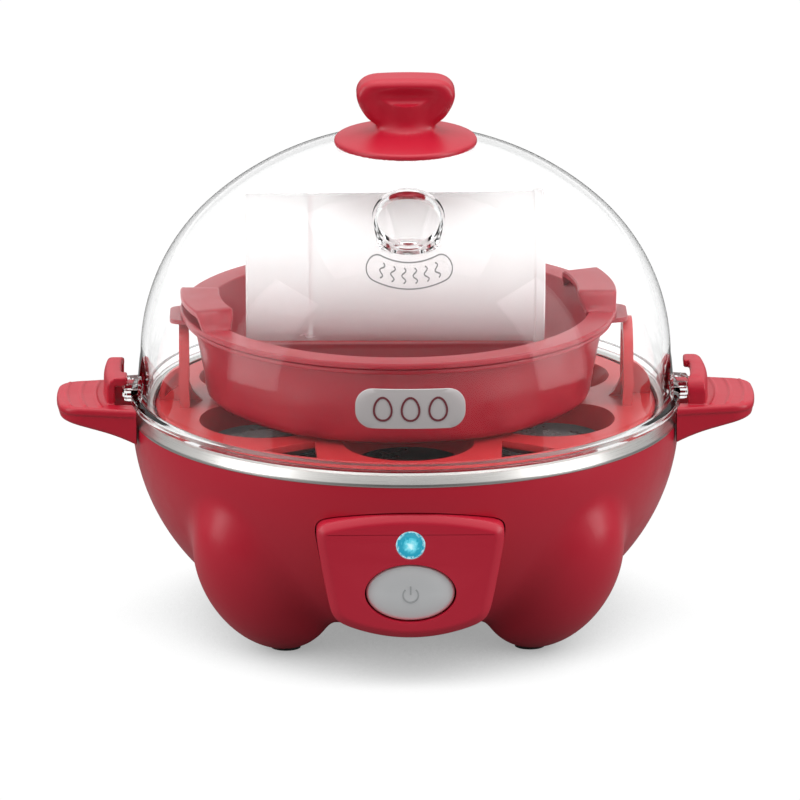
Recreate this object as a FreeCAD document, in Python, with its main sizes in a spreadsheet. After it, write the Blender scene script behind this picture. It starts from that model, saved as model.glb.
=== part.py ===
import FreeCAD, Part
import math
import os
import re
import Sketcher

# Electric egg cooker. Millimetres, +Z up, +X to the right-hand handle, the control panel faces -Y.
# The origin is the centre of the surface that the four feet stand on.

Vector = FreeCAD.Vector
Rotation = FreeCAD.Rotation
Placement = FreeCAD.Placement

UP = Rotation()
ALONG_X = Rotation(Vector(0, 1, 0), 90)
ALONG_Y = Rotation(Vector(1, 0, 0), -90)

SIZES = {
    # base bowl
    "rim_radius": 73.7, "rim_level": 56.0, "bowl_arc": "=rim_level - 0.3", "shell_wall": 2.4,
    "floor_level": 9.0, "opening_radius": 29.0, "cover_radius": 33.0, "cover_thickness": 1.4,
    # legs: leaning egg-shaped bulges
    "leg_inset": 19.7, "leg_reach": "=rim_radius - leg_inset", "leg_level": 24.6,
    "leg_half_length": 27.0, "leg_half_width": 18.0, "leg_lean": 34.0, "leg_azimuth": 45.0,
    "foot_radius": 4.0, "foot_thickness": 1.6,
    # steel band, pan and gasket
    "band_height": 4.0, "band_thickness": 0.8, "band_top": "=rim_level + band_height", "band_taper": 1.2,
    "band_lip": 4.0, "seat_inset": 5.3, "seat_radius": "=rim_radius - seat_inset", "ledge_height": 0.6,
    "ledge_level": "=rim_level + ledge_height", "ledge_width": 5.4,
    "pan_radius": "=seat_radius - ledge_width",
    "pan_rim_thickness": 1.2, "pan_wall": 1.6, "pan_depth": 9.0, "pan_floor": "=rim_level - pan_depth",
    "gasket_height": 1.4,
    # heating parts under the pan
    "element_radius": 38.0, "element_tube": 3.2, "element_sweep": 300.0, "terminal_turn": 4.5,
    "terminal_radius": 1.6, "terminal_length": 9.0, "stud_reach": 22.0, "stud_radius": 3.0, "stud_bore": 1.3,
    "screw_radius": 1.5, "screw_head": 2.9, "screw_head_height": 1.1, "screw_length": 8.0, "slot_width": 0.7,
    "thermostat_radius": 8.5, "thermostat_height": 7.0, "thermostat_rim": 2.4, "tab_width": 5.0,
    "tab_thickness": 0.8, "fuse_radius": 2.0, "fuse_length": 13.0, "fuse_place": -16.0, "fuse_end": 2.0,
    "shield_radius": 43.0, "shield_level": 33.0, "shield_thickness": 0.8, "shield_rim": 3.0,
    # control panel
    "panel_half_top": 25.7, "panel_half_bottom": 20.8, "panel_headroom": 0.55,
    "panel_top": "=lamp_level + lens_flange + panel_headroom", "panel_bottom": 19.0,
    "panel_proud": 0.7, "panel_face": "=-(rim_radius + panel_proud)", "panel_wall": 2.0,
    "panel_crown": 105.0, "panel_belly": 46.0, "panel_corner": 7.5, "panel_depth": 28.0, "panel_gap": 0.35,
    "panel_bevel": 2.0, "panel_shallow": 9.0, "panel_step": 41.0,
    # button, lamp and switch
    "button_level": 26.9, "button_half_width": 11.85, "button_half_height": 7.75, "button_depth": 6.0,
    "button_gap": 0.4, "button_proud": 0.3, "button_round": 0.8, "button_travel": 1.5, "stem_radius": 2.4,
    "stem_length": 3.0, "lamp_gap": 1.8, "lamp_radius": 3.85,
    "lamp_level": "=button_level + button_half_height + lamp_gap + lamp_radius", "lens_depth": 5.0,
    "lens_flange": "=lamp_radius + 0.9", "lens_flange_thickness": 1.2, "bulb_radius": 1.8, "bulb_length": 3.0,
    "lamp_pin": 0.3, "lamp_pitch": 2.54, "board_width": 16.0, "board_height": 9.0, "board_thickness": 1.2,
    "board_drop": 5.4, "switch_width": 15.0, "switch_depth": 9.0, "switch_height": 11.0,
    "bracket_thickness": 1.4, "bracket_bar": 5.0, "bracket_yoke": 2.6, "bracket_side": 2.4,
    # rear cord outlet, connector and wires
    "outlet_level": 24.0, "outlet_radius": 8.5, "outlet_inset": 1.5,
    "outlet_face": "=rim_radius - outlet_inset",
    "outlet_boss": 22.0, "outlet_bore": 4.5, "gland_radius": 6.6, "gland_flange": 2.2, "gland_bore": 3.2,
    "gland_depth": 9.0, "connector_width": 24.0, "connector_depth": 11.0, "connector_height": 10.0,
    "connector_inset": 17.18, "connector_pitch": 7.0, "wire_radius": 0.9,
    # side handles
    "handle_length": 19.9, "handle_root": "=rim_radius + 0.4", "handle_reach": "=handle_root + handle_length",
    "handle_half_root": 16.4, "handle_half_tip": 12.9, "handle_rise": 1.5,
    "handle_top": "=band_top + handle_rise",
    "handle_tip_bottom": "=handle_top - 4.3", "handle_waist": "=handle_root + 5.9",
    "handle_waist_bottom": "=handle_top - 7.3", "handle_root_bottom": "=handle_top - 10.3",
    "handle_corner": 3.5, "handle_crown": 1.2, "ridge_height": 0.45, "ridge_width": 1.1, "ridge_pitch": 3.9,
    "ridge_start": "=handle_root + 7.9", "ridge_arc": 60.0, "ridge_inset": 1.2,
    "slot_inner": "=handle_root + 0.5", "slot_outer": "=handle_root + 5.1", "hook_wall": 1.8,
    "hook_outer": "=slot_outer + hook_wall", "hook_height": 7.5, "hook_top": "=handle_top + hook_height",
    "hook_roof": 2.5, "hook_open_end": 10.6, "hook_closed_end": 13.8, "hook_leg": 2.2,
    "hook_leg_bottom": "=handle_top - 4.5", "hook_waist": "=handle_root + 2.4", "hook_lip": 6.5,
    "hook_lip_reach": "=handle_root + 1.1", "hook_round": 1.5, "tongue_place": 13.8, "tongue_half": 1.7,
    "tongue_length": 4.6, "tongue_top": "=rim_level - 0.7", "tongue_bottom": "=tongue_top - 3",
    "tongue_fit": 0.08,
    # egg tray
    "tray_fit": 0.6, "tray_radius": "=seat_radius - tray_fit", "tray_rise": 3.4,
    "tray_top": "=ledge_level + tray_rise", "tray_plate": 1.8, "egg_circle": 44.0, "egg_mouth": 17.6,
    "egg_throat": 14.6, "egg_depth": 6.0, "egg_wall": 1.4,
    "gap_inner": 50.0, "gap_outer": 63.5, "gap_half": 8.5,
    "loop_reach": "=tray_radius - 9.5", "loop_thickness": 2.6, "loop_half": 11.0, "loop_height": 22.4,
    "loop_top": "=tray_top + loop_height", "loop_bar": 3.6, "gusset_reach": "=tray_radius - 1",
    "gusset_top": "=tray_top + 10", "gusset_thickness": 2.2, "gusset_rib": 1.5,
    "inner_gusset_reach": "=loop_reach - 3.5", "inner_gusset_top": "=tray_top + 8",
    # dishes that stand on the egg tray
    "dish_offset": -1.9, "dish_gap": 0.3, "dish_floor_radius": 45.5, "dish_corner": 7.0, "dish_heel": 52.2,
    "dish_wall_radius": 55.2, "dish_wall": 1.6, "dish_rim_radius": 57.8, "dish_height": 24.2,
    "dish_rim_top": "=tray_top + dish_height", "dish_rim_thickness": 1.4, "dish_tab_reach": 61.6,
    "dish_tab_half": 8.0, "poach_rim_radius": 58.6, "poach_rim_thickness": 1.6,
    "poach_top": "=dish_rim_top + dish_gap + poach_rim_thickness", "poach_inner": 51.2, "poach_wall": 1.4,
    "poach_depth": 20.1, "poach_floor": "=poach_top - poach_depth", "poach_floor_radius": 40.0,
    "poach_corner": 8.0, "poach_heel": 47.0, "divider_height": 9.4,
    "divider_top": "=poach_floor + divider_height",
    "divider_half_base": 4.0, "divider_half_top": 1.6, "wing_inner": 49.0, "wing_root_half": 9.0,
    "wing_height": 4.4, "wing_slope": 5.0, "wing_start": -9.0, "wing_sweep": 37.0,
    # measuring cup, lying on the divider
    "cup_rest": 0.4, "cup_rim_radius": 20.9, "cup_level": "=divider_top + cup_rest + cup_rim_radius",
    "cup_base": -43.0, "cup_mouth": 37.0, "cup_base_radius": 19.5, "cup_mouth_radius": 20.2,
    "cup_rim_width": 2.5, "cup_wall": 1.2, "cup_floor": -25.0, "cup_round": 2.5,
    "pin_radius": 0.5, "pin_tip": -38.5, "pin_point": 1.5, "pin_boss_radius": 3.2, "pin_boss_length": 3.0,
    # lid
    "lid_gap": 0.3, "flange_radius": "=rim_radius + lid_gap", "flange_bottom": "=band_top + lid_gap",
    "flange_thickness": 2.0, "skirt_radius": "=flange_radius - 1.6", "dome_radius": "=flange_radius - 2.6",
    "dome_spring": "=flange_bottom + 12.5", "dome_rise": 61.0, "dome_side_arc": 54.0, "dome_wall": 2.0,
    "vent_reach": 42.0, "vent_radius": 9.75, "vent_wall": 0.9, "vent_proud": 0.9,
    "vent_bottom": "=dome_spring + 40.7", "vent_floor": 1.5, "vent_hole": 4.0, "vent_throat": 7.0,
    "ear_reach": "=handle_root + 2.2", "ear_half": 3.9, "ear_bottom": "=handle_top + 0.3",
    "ear_thickness": 2.0, "ear_rib_top": "=ear_bottom + 4.2", "ear_rib_half": 2.2,
    "ear_rib_reach": "=handle_root + 2.1", "ear_catch_radius": 1.5, "ear_catch_drop": 1.7,
    "knob_ring_inner": 20.4, "knob_ring_width": 1.2, "knob_ring_height": 0.6,
    # knob and badge
    "knob_disc_radius": 19.2, "knob_edge": 1.2, "knob_neck_radius": 6.2,
    "knob_neck_level": "=dome_spring + dome_rise + 3.2", "knob_disc_arc": 42.0, "grip_half_width": 13.3,
    "grip_half_base": 8.6, "grip_half_thickness": 5.7, "grip_bottom": "=knob_neck_level + 0.4",
    "grip_wide_level": "=grip_bottom + 8.2", "grip_top": "=grip_bottom + 12.6", "grip_round": 2.6,
    "knob_bore": 1.7, "washer_radius": 5.0, "washer_thickness": 1.0, "knob_screw_length": 11.0,
    "badge_level": "=dome_spring + 4.5", "badge_half_width": 14.7, "badge_half_height": 5.35,
    "badge_thickness": 0.5, "badge_corner": 2.2,
}

SIDES = {"left": 180, "right": 0}

document = FreeCAD.newDocument("EggCooker")
sheet = document.addObject("Spreadsheet::Sheet", "Sizes")
for row, (alias, value) in enumerate(SIZES.items(), start=1):
    sheet.set(f"A{row}", alias)
    sheet.set(f"B{row}", str(value))
    sheet.setAlias(f"B{row}", alias)
document.recompute()

parts = []


def bound(formula):
    """A formula in sheet aliases, as an expression that other objects can hold."""
    def alias(word):
        return "Sizes." + word.group() if word.group() in SIZES else word.group()

    return re.sub(r"[a-z]\w*", alias, str(formula))


def number(formula):
    return float(sheet.evalExpression(str(formula)))


def keep(shape_object, label):
    """Marks an object as one of the finished sub-parts."""
    shape_object.Label = label
    parts.append(shape_object)
    return shape_object


# ---------------------------------------------------------------- sketch and feature helpers

def body(name):
    return document.addObject("PartDesign::Body", name + "_body")


def plane(owner, role):
    return next(item for item in owner.Origin.OriginFeatures if item.Role == role)


def sketch(owner, name, role, offset=0, turn=0):
    """A sketch on an origin plane of its body, moved along the plane's normal by offset."""
    drawing = owner.newObject("Sketcher::SketchObject", name)
    drawing.AttachmentSupport = [(plane(owner, role), "")]
    drawing.MapMode = "FlatFace"
    drawing.AttachmentOffset = Placement(Vector(0, 0, number(offset)), Rotation(Vector(0, 0, 1), turn))
    drawing.setExpression("AttachmentOffset.Base.z", bound(offset))
    return drawing


def arc_between(start, end, radius):
    """The minor arc that bulges to the right on the way from start to end, or left if radius is negative."""
    chord = end - start
    side = 1 if radius > 0 else -1
    height = math.sqrt(max(radius * radius - chord.Length ** 2 / 4, 0))
    normal = Vector(-chord.y, chord.x, 0).normalize() * side
    middle = (start + end) * 0.5 + normal * (height - abs(radius))
    return Part.Arc(start, middle, end)


def outline(drawing, corners):
    """A closed outline. A corner is (x, y), or (x, y, radius) where an arc leads on to the next corner."""
    points = [Vector(number(c[0]), number(c[1]), 0) for c in corners]
    edges = []
    for index, corner in enumerate(corners):
        start = points[index]
        end = points[(index + 1) % len(points)]
        if len(corner) == 3:
            radius = number(corner[2])
            geometry = drawing.addGeometry(arc_between(start, end, radius), False)
            forward = radius > 0
            edges.append((geometry, 1 if forward else 2, 2 if forward else 1))
            rule = drawing.addConstraint(Sketcher.Constraint("Radius", geometry, abs(radius)))
            drawing.setExpression(f"Constraints[{rule}]", f"abs({bound(corner[2])})")
        else:
            geometry = drawing.addGeometry(Part.LineSegment(start, end), False)
            edges.append((geometry, 1, 2))
    for index, (geometry, first, last) in enumerate(edges):
        following = edges[(index + 1) % len(edges)]
        drawing.addConstraint(Sketcher.Constraint("Coincident", geometry, last, following[0], following[1]))
        for axis, value in (("DistanceX", corners[index][0]), ("DistanceY", corners[index][1])):
            rule = drawing.addConstraint(Sketcher.Constraint(axis, -1, 1, geometry, first, number(value)))
            if re.search("[a-z]", str(value)):
                drawing.setExpression(f"Constraints[{rule}]", bound(value))
    return drawing


def circle(drawing, x, y, radius):
    centre = Vector(number(x), number(y), 0)
    geometry = drawing.addGeometry(Part.Circle(centre, Vector(0, 0, 1), number(radius)))
    for axis, value in (("DistanceX", x), ("DistanceY", y)):
        rule = drawing.addConstraint(Sketcher.Constraint(axis, -1, 1, geometry, 3, number(value)))
        drawing.setExpression(f"Constraints[{rule}]", bound(value))
    rule = drawing.addConstraint(Sketcher.Constraint("Radius", geometry, number(radius)))
    drawing.setExpression(f"Constraints[{rule}]", bound(radius))
    return drawing


def spin(owner, drawing, kind="Revolution", axis="V_Axis"):
    """Revolution adds a turned solid to the body, Groove takes one away."""
    feature = owner.newObject("PartDesign::" + kind, drawing.Name + "_" + kind)
    feature.Profile = drawing
    feature.ReferenceAxis = (drawing, [axis])
    feature.Angle = 360
    drawing.Visibility = False
    return feature


def extrude(owner, drawing, length, kind="Pad", centred=False, reverse=False):
    """Pad runs along the sketch's normal and Pocket against it, unless reversed or centred."""
    feature = owner.newObject("PartDesign::" + kind, drawing.Name + "_" + kind)
    feature.Profile = drawing
    feature.Length = number(length)
    feature.setExpression("Length", bound(length))
    feature.Midplane = centred
    feature.Reversed = reverse
    return feature


def turned(name, corners):
    """A body turned about the Z axis from an outline of (radius, level) corners."""
    owner = body(name)
    spin(owner, outline(sketch(owner, name + "_profile", "XZ_Plane"), corners))
    return owner


def place(thing, at, turn=UP):
    thing.Placement = Placement(Vector(*[number(value) for value in at]), turn)
    for axis, value in zip("xyz", at):
        thing.setExpression(f"Placement.Base.{axis}", bound(value))
    return thing


def solid(kind, name, sizes, at=(0, 0, 0), turn=UP):
    """A Part primitive with every size and its place bound to the sheet."""
    thing = document.addObject("Part::" + kind, name)
    for key, formula in sizes.items():
        setattr(thing, key, number(formula))
        thing.setExpression(key, bound(formula))
    return place(thing, at, turn)


def rod(name, radius, length, at, turn=UP):
    return solid("Cylinder", name, {"Radius": radius, "Height": length}, at, turn)


def block(name, size, at, turn=UP):
    return solid("Box", name, dict(zip(("Length", "Width", "Height"), size)), at, turn)


def join(name, pieces):
    thing = document.addObject("Part::MultiFuse", name)
    thing.Shapes = pieces
    return thing


def group(name, pieces):
    """Identical pieces kept as separate solids in one sub-part."""
    thing = document.addObject("Part::Compound", name)
    thing.Links = pieces
    return thing


def cut(name, base, tools):
    tool = tools[0] if len(tools) == 1 else join(name + "_tools", tools)
    thing = document.addObject("Part::Cut", name)
    thing.Base = base
    thing.Tool = tool
    return thing


def common(name, pieces):
    thing = document.addObject("Part::MultiCommon", name)
    thing.Shapes = pieces
    return thing


def around(count, start=0):
    return [start + index * 360 / count for index in range(count)]


def polar(reach, azimuth):
    return f"({reach}) * cos({azimuth}deg)", f"({reach}) * sin({azimuth}deg)"


# ---------------------------------------------------------------- base housing

BOWL_FLOOR_RADIUS = "(rim_radius - bowl_arc + sqrt(bowl_arc ^ 2 - (rim_level - floor_level) ^ 2))"
INNER_ARC = "(bowl_arc - shell_wall)"
INNER_FLOOR_LEVEL = "(floor_level + shell_wall)"
INNER_FLOOR_RADIUS = ("(rim_radius - bowl_arc + sqrt((bowl_arc - shell_wall) ^ 2"
                      " - (rim_level - floor_level - shell_wall) ^ 2))")
STUD_AZIMUTHS = around(3, 30)


def panel_outline(owner, name, margin):
    """The shield shape of the control panel, grown by margin, on the panel's face."""
    drawing = sketch(owner, name, "XZ_Plane", "-(panel_face)")
    return outline(drawing, [
        (f"-panel_half_bottom - ({margin})", f"panel_bottom - ({margin})", "panel_belly"),
        (f"panel_half_bottom + ({margin})", f"panel_bottom - ({margin})"),
        (f"panel_half_top + ({margin})", f"panel_top + ({margin})", "panel_crown"),
        (f"-panel_half_top - ({margin})", f"panel_top + ({margin})"),
    ])


def corner_edges(shape, direction):
    """The straight edges that run along a direction, by name."""
    found = []
    for index, edge in enumerate(shape.Edges, start=1):
        if isinstance(edge.Curve, Part.Line) and abs(edge.Curve.Direction.dot(direction)) > 0.999:
            found.append(f"Edge{index}")
    return found


def panel_prism(name, margin, depth):
    """A prism of the panel's shape with rounded corners, from its face back by depth."""
    owner = body(name)
    pad = extrude(owner, panel_outline(owner, name + "_outline", margin), depth, reverse=True)
    document.recompute()
    rounding = owner.newObject("PartDesign::Fillet", name + "_corners")
    rounding.Base = (pad, corner_edges(pad.Shape, Vector(0, 1, 0)))
    rounding.Radius = number(f"panel_corner + ({margin})")
    rounding.setExpression("Radius", bound(f"panel_corner + ({margin})"))
    return owner


def leg_solids(name, thinner):
    """The four leaning egg shapes, each smaller all round by thinner."""
    legs = []
    for quarter in range(4):
        mirrored = quarter % 2
        start = quarter * 90
        azimuth = f"({start + 90} - leg_azimuth)" if mirrored else f"({start} + leg_azimuth)"
        across = f"leg_reach * cos(1deg * {azimuth})"
        deep = f"leg_reach * sin(1deg * {azimuth})"
        leg = solid("Ellipsoid", f"{name}_{quarter}", {
            "Radius1": f"leg_half_length - ({thinner})",
            "Radius2": f"leg_half_width - ({thinner})",
            "Radius3": f"leg_half_width - ({thinner})"}, (across, deep, "leg_level"))
        heading = number(azimuth)
        leg.Placement.Rotation = (Rotation(Vector(0, 0, 1), heading)
                                  * Rotation(Vector(0, 1, 0), number("leg_lean")))
        legs.append(leg)
    return legs


def foot_places():
    """Where the lowest point of each leg is."""
    upright = "(leg_half_length * cos(1deg * leg_lean)) ^ 2"
    level = "(leg_half_width * sin(1deg * leg_lean)) ^ 2"
    low = f"(sqrt({upright} + {level}))"
    difference = "(leg_half_length ^ 2 - leg_half_width ^ 2)"
    shift = f"({difference} * sin(1deg * leg_lean) * cos(1deg * leg_lean) / {low})"
    reach = f"(leg_reach - {shift})"
    return [(f"{sx} * {reach} * cos(1deg * leg_azimuth)", f"{sy} * {reach} * sin(1deg * leg_azimuth)")
            for sx in (1, -1) for sy in (1, -1)]


def base_shell():
    outer = turned("bowl_outside", [
        (0, "floor_level"), (BOWL_FLOOR_RADIUS, "floor_level", "bowl_arc"),
        ("rim_radius", "rim_level"), (0, "rim_level")])
    inner = turned("bowl_inside", [
        (0, INNER_FLOOR_LEVEL), (INNER_FLOOR_RADIUS, INNER_FLOOR_LEVEL, INNER_ARC),
        ("rim_radius - shell_wall", "rim_level"), ("rim_radius - shell_wall", "rim_level + 1"),
        (0, "rim_level + 1")])
    boss_start = "outlet_face - outlet_boss"
    boss = rod("outlet_boss", "outlet_radius", "outlet_boss", (0, boss_start, "outlet_level"), ALONG_Y)
    outside = join("shell_outside", [outer, boss] + leg_solids("leg_outside", 0))
    inside = join("shell_inside", [inner] + leg_solids("leg_inside", "shell_wall"))
    opening = rod("bottom_opening", "opening_radius", "10", (0, 0, "floor_level - 5"))
    recess = rod("cover_recess", "cover_radius + 0.15", "5 + cover_thickness", (0, 0, "floor_level - 5"))
    window = panel_prism("panel_window", "panel_gap", "panel_depth + 4")
    bore = rod("outlet_hole", "outlet_bore", "40", (0, "outlet_face - 30", "outlet_level"), ALONG_Y)
    feet = [rod(f"foot_recess_{index}", "foot_radius + 0.1", "6 + foot_thickness", (x, y, -6))
            for index, (x, y) in enumerate(foot_places())]
    slots = []
    for side, azimuth in SIDES.items():
        across = "rim_radius - 12" if azimuth == 0 else "-rim_radius - 2"
        slots += tongues(f"tongue_slot_{side}", across, "14", "tongue_fit")
    shell = cut("shell", outside, [inside, opening, recess, window, bore] + feet + slots)
    keep(shell, "base_shell")


def tongues(name, across, length, margin):
    """The two flat tongues that join a handle to the shell, grown by margin."""
    return [block(f"{name}_{end}", (
        length, f"2 * (tongue_half + {margin})", f"tongue_top - tongue_bottom + 2 * {margin}"),
        (across, f"{end} * tongue_place - tongue_half - {margin}", f"tongue_bottom - {margin}"))
        for end in (-1, 1)]


def bottom_cover():
    plate = rod("cover_plate", "cover_radius", "cover_thickness", (0, 0, "floor_level"))
    holes = []
    for index, azimuth in enumerate(STUD_AZIMUTHS):
        x, y = polar("stud_reach", azimuth)
        holes.append(rod(f"cover_hole_{index}", "screw_radius + 0.15", "10", (x, y, "floor_level - 5")))
    keep(cut("cover", plate, holes), "bottom_cover")


def foot_pads():
    pads = [rod(f"foot_{index}", "foot_radius", "foot_thickness", (x, y, 0))
            for index, (x, y) in enumerate(foot_places())]
    keep(group("feet", pads), "foot_pads")


PAN_UNDERSIDE = "(pan_floor - pan_wall)"


def plate_studs():
    bottom = "(floor_level + cover_thickness)"
    studs = []
    for index, azimuth in enumerate(STUD_AZIMUTHS):
        x, y = polar("stud_reach", azimuth)
        post = rod(f"stud_post_{index}", "stud_radius", f"{PAN_UNDERSIDE} - {bottom}", (x, y, bottom))
        bore = rod(f"stud_bore_{index}", "stud_bore + 0.25", "9", (x, y, f"{bottom} - 1"))
        studs.append(cut(f"stud_{index}", post, [bore]))
    keep(group("studs", studs), "plate_studs")


def cover_screws():
    screws = []
    for index, azimuth in enumerate(STUD_AZIMUTHS):
        x, y = polar("stud_reach", azimuth)
        head = solid("Cone", f"screw_head_{index}", {
            "Radius1": "screw_head * 0.8", "Radius2": "screw_head", "Height": "screw_head_height"},
            (x, y, "floor_level - screw_head_height"))
        shank = rod(f"screw_shank_{index}", "stud_bore + 0.05", "screw_length", (x, y, "floor_level - 0.01"))
        slot = block(f"screw_slot_{index}", ("screw_head * 1.4", "slot_width", "screw_head_height * 0.8"),
                     (f"{x} - screw_head * 0.7", f"{y} - slot_width / 2",
                      "floor_level - screw_head_height - 0.3"))
        screws.append(cut(f"screw_{index}", join(f"screw_whole_{index}", [head, shank]), [slot]))
    keep(group("screws", screws), "cover_screws")


# ---------------------------------------------------------------- steel band, pan and heating parts

def steel_band():
    inner_top = "(rim_radius - band_taper)"
    keep(turned("band", [
        ("rim_radius + 0.2 - band_thickness", "rim_level"), ("rim_radius + 0.2", "rim_level"),
        (f"{inner_top}", "band_top - 0.8"), (f"{inner_top} - 0.8", "band_top"),
        (f"{inner_top} - band_lip", "band_top"), (f"{inner_top} - band_lip", "band_top - band_thickness"),
        (f"{inner_top} - 1.6", "band_top - band_thickness")]), "steel_rim_band")


def heating_plate():
    rim_top = "(band_top - band_thickness - 0.02)"
    rim_bottom = f"({rim_top} - pan_rim_thickness)"
    rim_reach = "(rim_radius - band_taper - 2.2)"
    keep(turned("pan", [
        (0, PAN_UNDERSIDE), ("pan_radius - 3", PAN_UNDERSIDE, "3 + pan_wall"),
        ("pan_radius + pan_wall", "pan_floor + 3"), ("pan_radius + pan_wall", "ledge_level - pan_wall"),
        ("seat_radius + pan_wall", "ledge_level - pan_wall"), ("seat_radius + pan_wall", rim_bottom),
        (rim_reach, rim_bottom), (rim_reach, rim_top), ("seat_radius", rim_top),
        ("seat_radius", "ledge_level"), ("pan_radius", "ledge_level"), ("pan_radius", "pan_floor + 3", "-3"),
        ("pan_radius - 3", "pan_floor"), (0, "pan_floor")]), "heating_plate")


def plate_gasket():
    inner = "(seat_radius + pan_wall + 0.05)"
    bottom = "(rim_level + 0.02)"
    top = "(rim_level + gasket_height)"
    keep(turned("gasket", [
        ("rim_radius - shell_wall", bottom), ("rim_radius - 0.9", bottom), ("rim_radius - 1.9", top),
        (inner, top), (inner, bottom)]), "plate_gasket")


def heating_element():
    owner = body("element")
    drawing = sketch(owner, "element_section", "XZ_Plane")
    circle(drawing, "element_radius", f"{PAN_UNDERSIDE} - element_tube - 0.03", "element_tube")
    tube = spin(owner, drawing)
    tube.Angle = number("element_sweep")
    tube.setExpression("Angle", bound("element_sweep"))
    start = 90 + (360 - number("element_sweep")) / 2
    owner.Placement = Placement(Vector(), Rotation(Vector(0, 0, 1), start))
    keep(owner, "heating_element")


def element_terminals():
    level = f"({PAN_UNDERSIDE} - element_tube - 0.03)"
    pins = []
    half_gap = (360 - number("element_sweep")) / 2
    for index, side in enumerate((-1, 1)):
        azimuth = 90 + side * (half_gap - number("terminal_turn"))
        x, y = polar("element_radius", azimuth)
        pins.append(rod(f"terminal_{index}", "terminal_radius", "terminal_length",
                        (x, y, f"{level} - terminal_length + terminal_radius")))
    keep(group("terminals", pins), "element_terminals")


def thermostat():
    top = f"({PAN_UNDERSIDE} - 0.03)"
    can = rod("thermostat_can", "thermostat_radius", "thermostat_rim", (0, 0, f"{top} - thermostat_rim"))
    case = rod("thermostat_case", "thermostat_radius - 1", "thermostat_height - thermostat_rim",
               (0, 0, f"{top} - thermostat_height"))
    tabs = [block(f"thermostat_tab_{index}", ("tab_width", "tab_thickness", "tab_width * 0.9"),
                  (f"{x} - tab_width / 2", "-tab_thickness / 2", f"{top} - thermostat_height - 0.5"))
            for index, x in enumerate(("thermostat_radius + 0.6", "-thermostat_radius - 0.6"))]
    keep(join("thermostat_whole", [can, case] + tabs), "thermostat")


def thermal_fuse():
    level = f"({PAN_UNDERSIDE} - fuse_radius - 0.05)"
    half = "fuse_length / 2"
    tip = "fuse_radius * 0.3"
    tube = rod("fuse_tube", "fuse_radius", "fuse_length", (f"-{half}", "fuse_place", level), ALONG_X)
    ends = [solid("Cone", f"fuse_end_{index}", {"Radius1": first, "Radius2": last, "Height": "fuse_end"},
                  (x, "fuse_place", level), ALONG_X)
            for index, (first, last, x) in enumerate((
                (tip, "fuse_radius", f"-{half} - fuse_end"), ("fuse_radius", tip, half)))]
    keep(join("fuse_whole", [tube] + ends), "thermal_fuse")


def heat_shield():
    owner = turned("shield", [
        (0, "shield_level"), ("shield_radius", "shield_level"),
        ("shield_radius + 1.4", "shield_level + shield_rim"),
        ("shield_radius + 0.6", "shield_level + shield_rim"),
        ("shield_radius - 0.6", "shield_level + shield_thickness"), (0, "shield_level + shield_thickness")])
    drawing = sketch(owner, "shield_holes", "XY_Plane", "shield_level + 2")
    for azimuth in STUD_AZIMUTHS:
        x, y = polar("stud_reach", azimuth)
        circle(drawing, x, y, "stud_radius + 0.3")
    circle(drawing, 0, "element_radius - 4.5", "3.2")
    extrude(owner, drawing, "4", "Pocket")
    keep(owner, "heat_shield")


# ---------------------------------------------------------------- control panel, lamp, button and switch

def oval(owner, name, half_width, half_height, offset):
    """An oval, as two side arcs and two flatter long arcs that meet them tangentially."""
    drawing = sketch(owner, name, "XZ_Plane", offset)
    end_arc = f"(({half_height}) * 0.72)"
    reach = f"(({half_width}) - {end_arc})"
    spare = f"(({half_height}) - {end_arc})"
    long_arc = f"(({reach} ^ 2 + ({half_height}) ^ 2 - {end_arc} ^ 2) / (2 * {spare}))"
    ratio = f"({end_arc} / ({long_arc} - {end_arc}))"
    join_x = f"({reach} * (1 + {ratio}))"
    join_z = f"(({long_arc} - ({half_height})) * {ratio})"
    level = "button_level"
    corners = [(f"-{join_x}", f"{level} - {join_z}", long_arc), (join_x, f"{level} - {join_z}", end_arc),
               (join_x, f"{level} + {join_z}", long_arc), (f"-{join_x}", f"{level} + {join_z}", end_arc)]
    return outline(drawing, corners)


def control_panel():
    outer = panel_prism("panel_block", 0, "panel_depth")
    document.recompute()
    prism = outer.Tip
    bevel = outer.newObject("PartDesign::Chamfer", "panel_bevel_edge")
    face_y = number("panel_face")
    rim = [f"Edge{index}" for index, edge in enumerate(prism.Shape.Edges, start=1)
           if all(abs(vertex.Point.y - face_y) < 1e-6 for vertex in edge.Vertexes)]
    bevel.Base = (prism, rim)
    bevel.Size = number("panel_bevel")
    bevel.setExpression("Size", bound("panel_bevel"))
    hollow = panel_prism("panel_hollow", "-panel_wall", "panel_depth + 20")
    shift = "panel_wall + 0.6"
    place(hollow, (0, shift, 0))
    step = block("panel_step_cut", ("4 * panel_half_top", "2 * panel_depth", "panel_top"),
                 ("-2 * panel_half_top", "panel_face + panel_shallow", "panel_step"))
    lamp_hole = rod("lamp_hole", "lamp_radius + 0.08", "10", (0, "panel_face - 2", "lamp_level"), ALONG_Y)
    button_hole = body("button_hole")
    extrude(button_hole, oval(button_hole, "button_hole_outline", "button_half_width + button_gap",
                              "button_half_height + button_gap", "-(panel_face - 2)"), "10", reverse=True)
    keep(cut("panel", outer, [hollow, step, lamp_hole, button_hole]), "control_panel")


def led_lens():
    front = rod("lens_front", "lamp_radius", "lens_depth", (0, "panel_face + 0.4", "lamp_level"), ALONG_Y)
    flange_at = "(panel_face + panel_wall + 0.65)"
    flange = rod("lens_flange_ring", "lens_flange", "lens_flange_thickness",
                 (0, flange_at, "lamp_level"), ALONG_Y)
    bore = rod("lens_bore", "bulb_radius + 0.8", "lens_depth", (0, "panel_face + 3", "lamp_level"), ALONG_Y)
    keep(cut("lens", join("lens_whole", [front, flange]), [bore]), "led_lens")


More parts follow.
